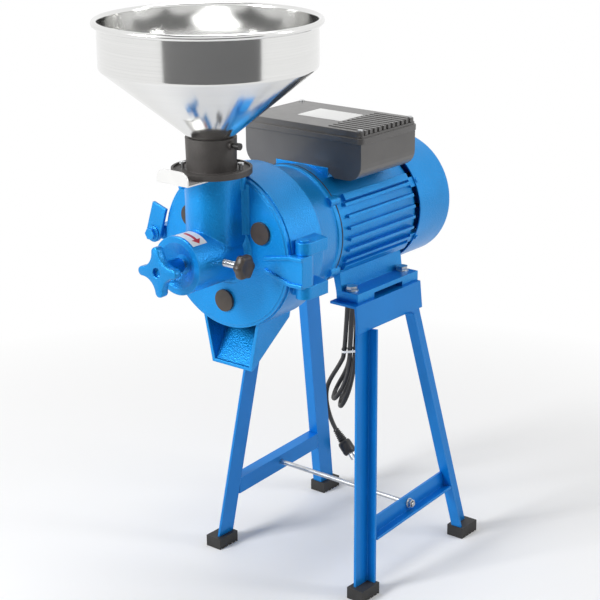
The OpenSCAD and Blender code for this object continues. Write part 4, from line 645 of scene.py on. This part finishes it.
def strip(bm, a0, a1, half, r, thick, n=12):
    """Bends a strip round the hub from angle a0 to a1; half gives its half width at an angle."""
    for k in range(n):
        a, b = a0 + (a1 - a0) * k / n, a0 + (a1 - a0) * (k + 1) / n
        corners = [(a, STICKER_Y - half(a)), (b, STICKER_Y - half(b)), (b, STICKER_Y + half(b)), (a, STICKER_Y + half(a))]
        under, top = [[bm.verts.new(on_hub(r + extra, c, y)) for c, y in corners] for extra in (0.0, thick)]
        bm.faces.new(top)
        join_rings(bm, under, top)


bm = bmesh.new()
strip(bm, STICKER_A0, STICKER_A1, lambda a: STICKER_HALF, HUB_R, STICKER_T)
bmesh.ops.remove_doubles(bm, verts=bm.verts, dist=1e-6)
put(mesh_object("hub_sticker", bm, 40), "cover", MATS["label"], "white_plastic")
bm = bmesh.new()
strip(bm, NECK_A, TAIL_A, lambda a: ARROW_HALF, HUB_R + STICKER_T, INK_T)
strip(bm, TIP_A, NECK_A, lambda a: HEAD_HALF * (a - TIP_A) / (NECK_A - TIP_A) + TIP_HALF, HUB_R + STICKER_T, INK_T)
put(mesh_object("sticker_arrow", bm, 40), "cover", MATS["red_ink"], "white_plastic")

# Coves where the feed hub and the inlet tower stand on the cover
COVE, SINK, TOWER_HALF, COVE_LOW, COVE_HIGH = 0.008, 0.0005, 0.039, 0.030, 0.104
FACE_Y = -0.146 + MID


def cove(half):
    """Section of a cove that starts inside a wall at half and runs out on the cover's face."""
    arc = [(math.cos(t), math.sin(t)) for t in (math.radians(90 + 15 * i) for i in range(7))]
    return ([(half - SINK, FACE_Y + SINK), (half + COVE, FACE_Y + SINK)]
            + [(half + COVE + COVE * c, FACE_Y - COVE + COVE * q) for c, q in arc] + [(half - SINK, FACE_Y - COVE)])


bm = bmesh.new()
lathe(bm, cove(HUB_R), along((0, 1, 0), (0, 0, SHAFT)), 96, close=True)
for side in (-1, 1):
    loft(bm, [[(side * x, y, SHAFT + z) for x, y in cove(TOWER_HALF)] for z in (COVE_LOW, COVE_HIGH)])
put(mesh_object("cover_coves", bm, 40), "cover", MATS["cast_paint"], "blue_paint")

# Lock knob: six hollow flutes and a dished face, on a bare threaded stud
KNOB_R, KNOB_X, FLUTES, FLUTE_DEPTH = 0.0188, 0.0700, 6, 0.15
KNOB = ((0.0, 0.60, 0.3), (0.0006, 0.78, 0.6), (0.0028, 0.955, 1.0), (0.0050, 1.0, 1.0), (0.0100, 1.0, 1.0),
        (0.0126, 0.955, 1.0), (0.0146, 0.80, 0.7), (0.0150, 0.66, 0.4), (0.0146, 0.50, 0.1), (0.0135, 0.20, 0.0))
CORE_R, CREST_R, ROOT_R, THREAD_PITCH, STUD_END = 0.0050, 0.0055, 0.0049, 0.0015, 0.0712
lock_body = body_of(nodes["lock_knob"])[0]
lock_low, lock_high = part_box("lock_knob")
LOCK_Y, LOCK_Z = (lock_low[1] + lock_high[1]) / 2, (lock_low[2] + lock_high[2]) / 2


def knob_ring(x, share, flute):
    """One ring of the knob: share of its radius, and how deep the flutes are there."""
    ring = []
    for t in (2 * math.pi * i / 96 for i in range(96)):
        r = KNOB_R * share * (1 - FLUTE_DEPTH * flute * (0.5 - 0.5 * math.cos(FLUTES * t + 0.5)) ** 0.8)
        ring.append((KNOB_X + x, LOCK_Y + r * math.cos(t), LOCK_Z + r * math.sin(t)))
    return ring


bm = bmesh.new()
loft(bm, [knob_ring(*row) for row in KNOB])
put(mesh_object("lock_knob_head", bm, 50), lock_body, MATS["brown_plastic"], "brown_plastic", "lock_knob")
bm = bmesh.new()
outline = [(0.0, lock_low[0]), (CORE_R, lock_low[0])]
x = lock_low[0] + 0.001
while x < KNOB_X:
    outline += [(CREST_R, x), (CREST_R, x + THREAD_PITCH / 3), (ROOT_R, x + 0.0011)]
    x += THREAD_PITCH
outline += [(ROOT_R, STUD_END), (0.0, STUD_END)]
lathe(bm, outline, along((1, 0, 0), (0, LOCK_Y, LOCK_Z)), 32)
put(mesh_object("lock_stud", bm, 60), lock_body, MATS["chrome"], "zinc")

# Motor body between the fins: the tube's skin stands higher than the solid's
SKIN_IN, SKIN_R, SKIN_END = 0.087, 0.0940, 0.006
motor_low, motor_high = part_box("motor_housing")
m0, m1 = motor_low[1] + 0.0005, motor_high[1] - 0.003
bm = bmesh.new()
lathe(bm, [(SKIN_IN, m0), (SKIN_R - 0.0005, m0), (SKIN_R, m0 + 0.0005),
           (SKIN_R, m1 - SKIN_END), (SKIN_R - 0.0015, m1), (SKIN_IN, m1)],
      along((0, 1, 0), (0, 0, SHAFT)), 160, close=True)
put(mesh_object("motor_skin", bm, 40), "frame", MATS["motor_paint"], "blue_paint")


def washer(bm, r0, r1, y, half, segments):
    """A flat ring round the shaft's line, from radius r0 to r1."""
    lathe(bm, [(r0, -half), (r1, -half), (r1, half), (r0, half)],
          along((0, 1, 0), (0, y, SHAFT)), segments, close=True)


# Fan: the back plate behind its blades
fan_low, fan_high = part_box("cooling_fan")
bm = bmesh.new()
washer(bm, 0.030, 0.0800, (fan_low[1] + fan_high[1]) / 2, 0.001, 96)
put(mesh_object("fan_plate", bm, 40), body_of(nodes["cooling_fan"])[0], MATS["motor_paint"], "black_plastic")

# Dark rings at the castings' joints: partly a rubber gasket, partly painted shade of the gap at each joint
JOINTS = ((-0.0600 + MID, 0.1036), (motor_low[1], 0.0976))
JOINT_T, JOINT_HALF = 0.0008, 0.0009
bm = bmesh.new()
for y, r in JOINTS:
    washer(bm, r, r + JOINT_T, y, JOINT_HALF, 128)
put(mesh_object("joint_rings_gasket_and_shade", bm, 40), "frame", MATS["rubber"], "rubber")


# Studio: pale floor, soft lamps and a white background for the camera and for reflections
def seen_rays(tree):
    """Is 1 for the rays that show the background: camera, mirror and glass rays."""
    path = tree.nodes.new("ShaderNodeLightPath")
    total = path.outputs["Is Camera Ray"]
    for ray in ("Is Glossy Ray", "Is Transmission Ray"):
        add = tree.nodes.new("ShaderNodeMath")
        add.operation = "ADD"
        add.use_clamp = True
        tree.links.new(total, add.inputs[0])
        tree.links.new(path.outputs[ray], add.inputs[1])
        total = add.outputs["Value"]
    return total


FLOOR_R, FADE_FROM, FADE_TO = 6, 0.45, 1.3      # the floor keeps the shadow and fades into the white round it
bm = bmesh.new()
bmesh.ops.create_circle(bm, cap_ends=True, segments=64, radius=FLOOR_R)
floor = mesh_object("floor", bm)
paper = bpy.data.materials.new("floor_paper")
paper.use_nodes = True
tree = paper.node_tree
matt = tree.nodes["Principled BSDF"]
matt.inputs["Roughness"].default_value = 0.9
grain = tree.nodes.new("ShaderNodeTexNoise")
grain.inputs["Scale"].default_value = 3
ramp = tree.nodes.new("ShaderNodeValToRGB")
ramp.color_ramp.elements[0].color = (0.90, 0.90, 0.90, 1)
ramp.color_ramp.elements[1].color = (0.93, 0.93, 0.93, 1)
tree.links.new(grain.outputs["Fac"], ramp.inputs["Fac"])
tree.links.new(ramp.outputs["Color"], matt.inputs["Base Color"])
place = tree.nodes.new("ShaderNodeTexCoord")
far = tree.nodes.new("ShaderNodeVectorMath")
far.operation = "LENGTH"
tree.links.new(place.outputs["Object"], far.inputs[0])
fade = tree.nodes.new("ShaderNodeMapRange")
fade.inputs["From Min"].default_value = FADE_FROM
fade.inputs["From Max"].default_value = FADE_TO
tree.links.new(far.outputs["Value"], fade.inputs["Value"])
glow = tree.nodes.new("ShaderNodeEmission")
glow.inputs["Color"].default_value = (1, 1, 1, 1)
both = tree.nodes.new("ShaderNodeMath")
both.operation = "MULTIPLY"
tree.links.new(fade.outputs["Result"], both.inputs[0])
tree.links.new(seen_rays(tree), both.inputs[1])
mix = tree.nodes.new("ShaderNodeMixShader")
tree.links.new(both.outputs["Value"], mix.inputs["Fac"])
tree.links.new(matt.outputs["BSDF"], mix.inputs[1])
tree.links.new(glow.outputs["Emission"], mix.inputs[2])
tree.links.new(mix.outputs["Shader"], tree.nodes["Material Output"].inputs["Surface"])
floor.data.materials.append(paper)

world = bpy.data.worlds.new("studio")
bpy.context.scene.world = world
world.use_nodes = True
tree = world.node_tree
soft = tree.nodes["Background"]
soft.inputs["Color"].default_value = (1, 1, 1, 1)
soft.inputs["Strength"].default_value = 0.30
white = tree.nodes.new("ShaderNodeBackground")
white.inputs["Color"].default_value = (1, 1, 1, 1)
white.inputs["Strength"].default_value = 1.0
pick = tree.nodes.new("ShaderNodeMixShader")
tree.links.new(seen_rays(tree), pick.inputs["Fac"])
tree.links.new(soft.outputs["Background"], pick.inputs[1])
tree.links.new(white.outputs["Background"], pick.inputs[2])
tree.links.new(pick.outputs["Shader"], tree.nodes["World Output"].inputs["Surface"])


def lamp(name, at, target, size, power):
    data = bpy.data.lights.new(name, "AREA")
    data.shape = "RECTANGLE"
    data.size, data.size_y = size
    data.energy = power
    obj = link(bpy.data.objects.new(name, data))
    obj.location = at
    obj.rotation_mode = "QUATERNION"
    obj.rotation_quaternion = (Vector(target) - Vector(at)).to_track_quat("-Z", "Y")


lamp("key", (-1.0, -2.6, 1.9), (0, 0, 0.5), (1.0, 1.0), 84)
lamp("side", (2.3, 1.3, 1.5), (0, 0.1, 0.5), (0.6, 1.4), 16)
lamp("top", (0.0, 0.3, 2.8), (0, 0, 0.5), (1.4, 1.4), 24)

# Dark cards that only reflections see, as round a photographed mirror surface.
# Each has its name, place, size and what it faces.
CARDS = (("card_camera", (0.856, -0.994, 0.42), (2.8, 0.84), (0, INLET, 0.42)),
         ("card_over", (0.5, -0.6, 3.4), (3.0, 3.0), (0, 0, 0.5)))
card_look = bpy.data.materials.new("card_felt")
card_look.use_nodes = True
felt = card_look.node_tree.nodes["Principled BSDF"]
felt.inputs["Roughness"].default_value = 0.95
felt.inputs["Base Color"].default_value = (0.20, 0.20, 0.20, 1)
for name, at, size, target in CARDS:
    bm = bmesh.new()
    bmesh.ops.create_grid(bm, x_segments=1, y_segments=1, size=0.5)
    card = mesh_object(name, bm)
    card.data.materials.append(card_look)
    card.scale = (size[0], size[1], 1)
    card.location = at
    card.rotation_mode = "QUATERNION"
    card.rotation_quaternion = (Vector(target) - Vector(at)).to_track_quat("Z", "Y")
    card.visible_camera = card.visible_diffuse = card.visible_shadow = card.visible_transmission = False

bpy.context.scene.view_settings.view_transform = "Standard"
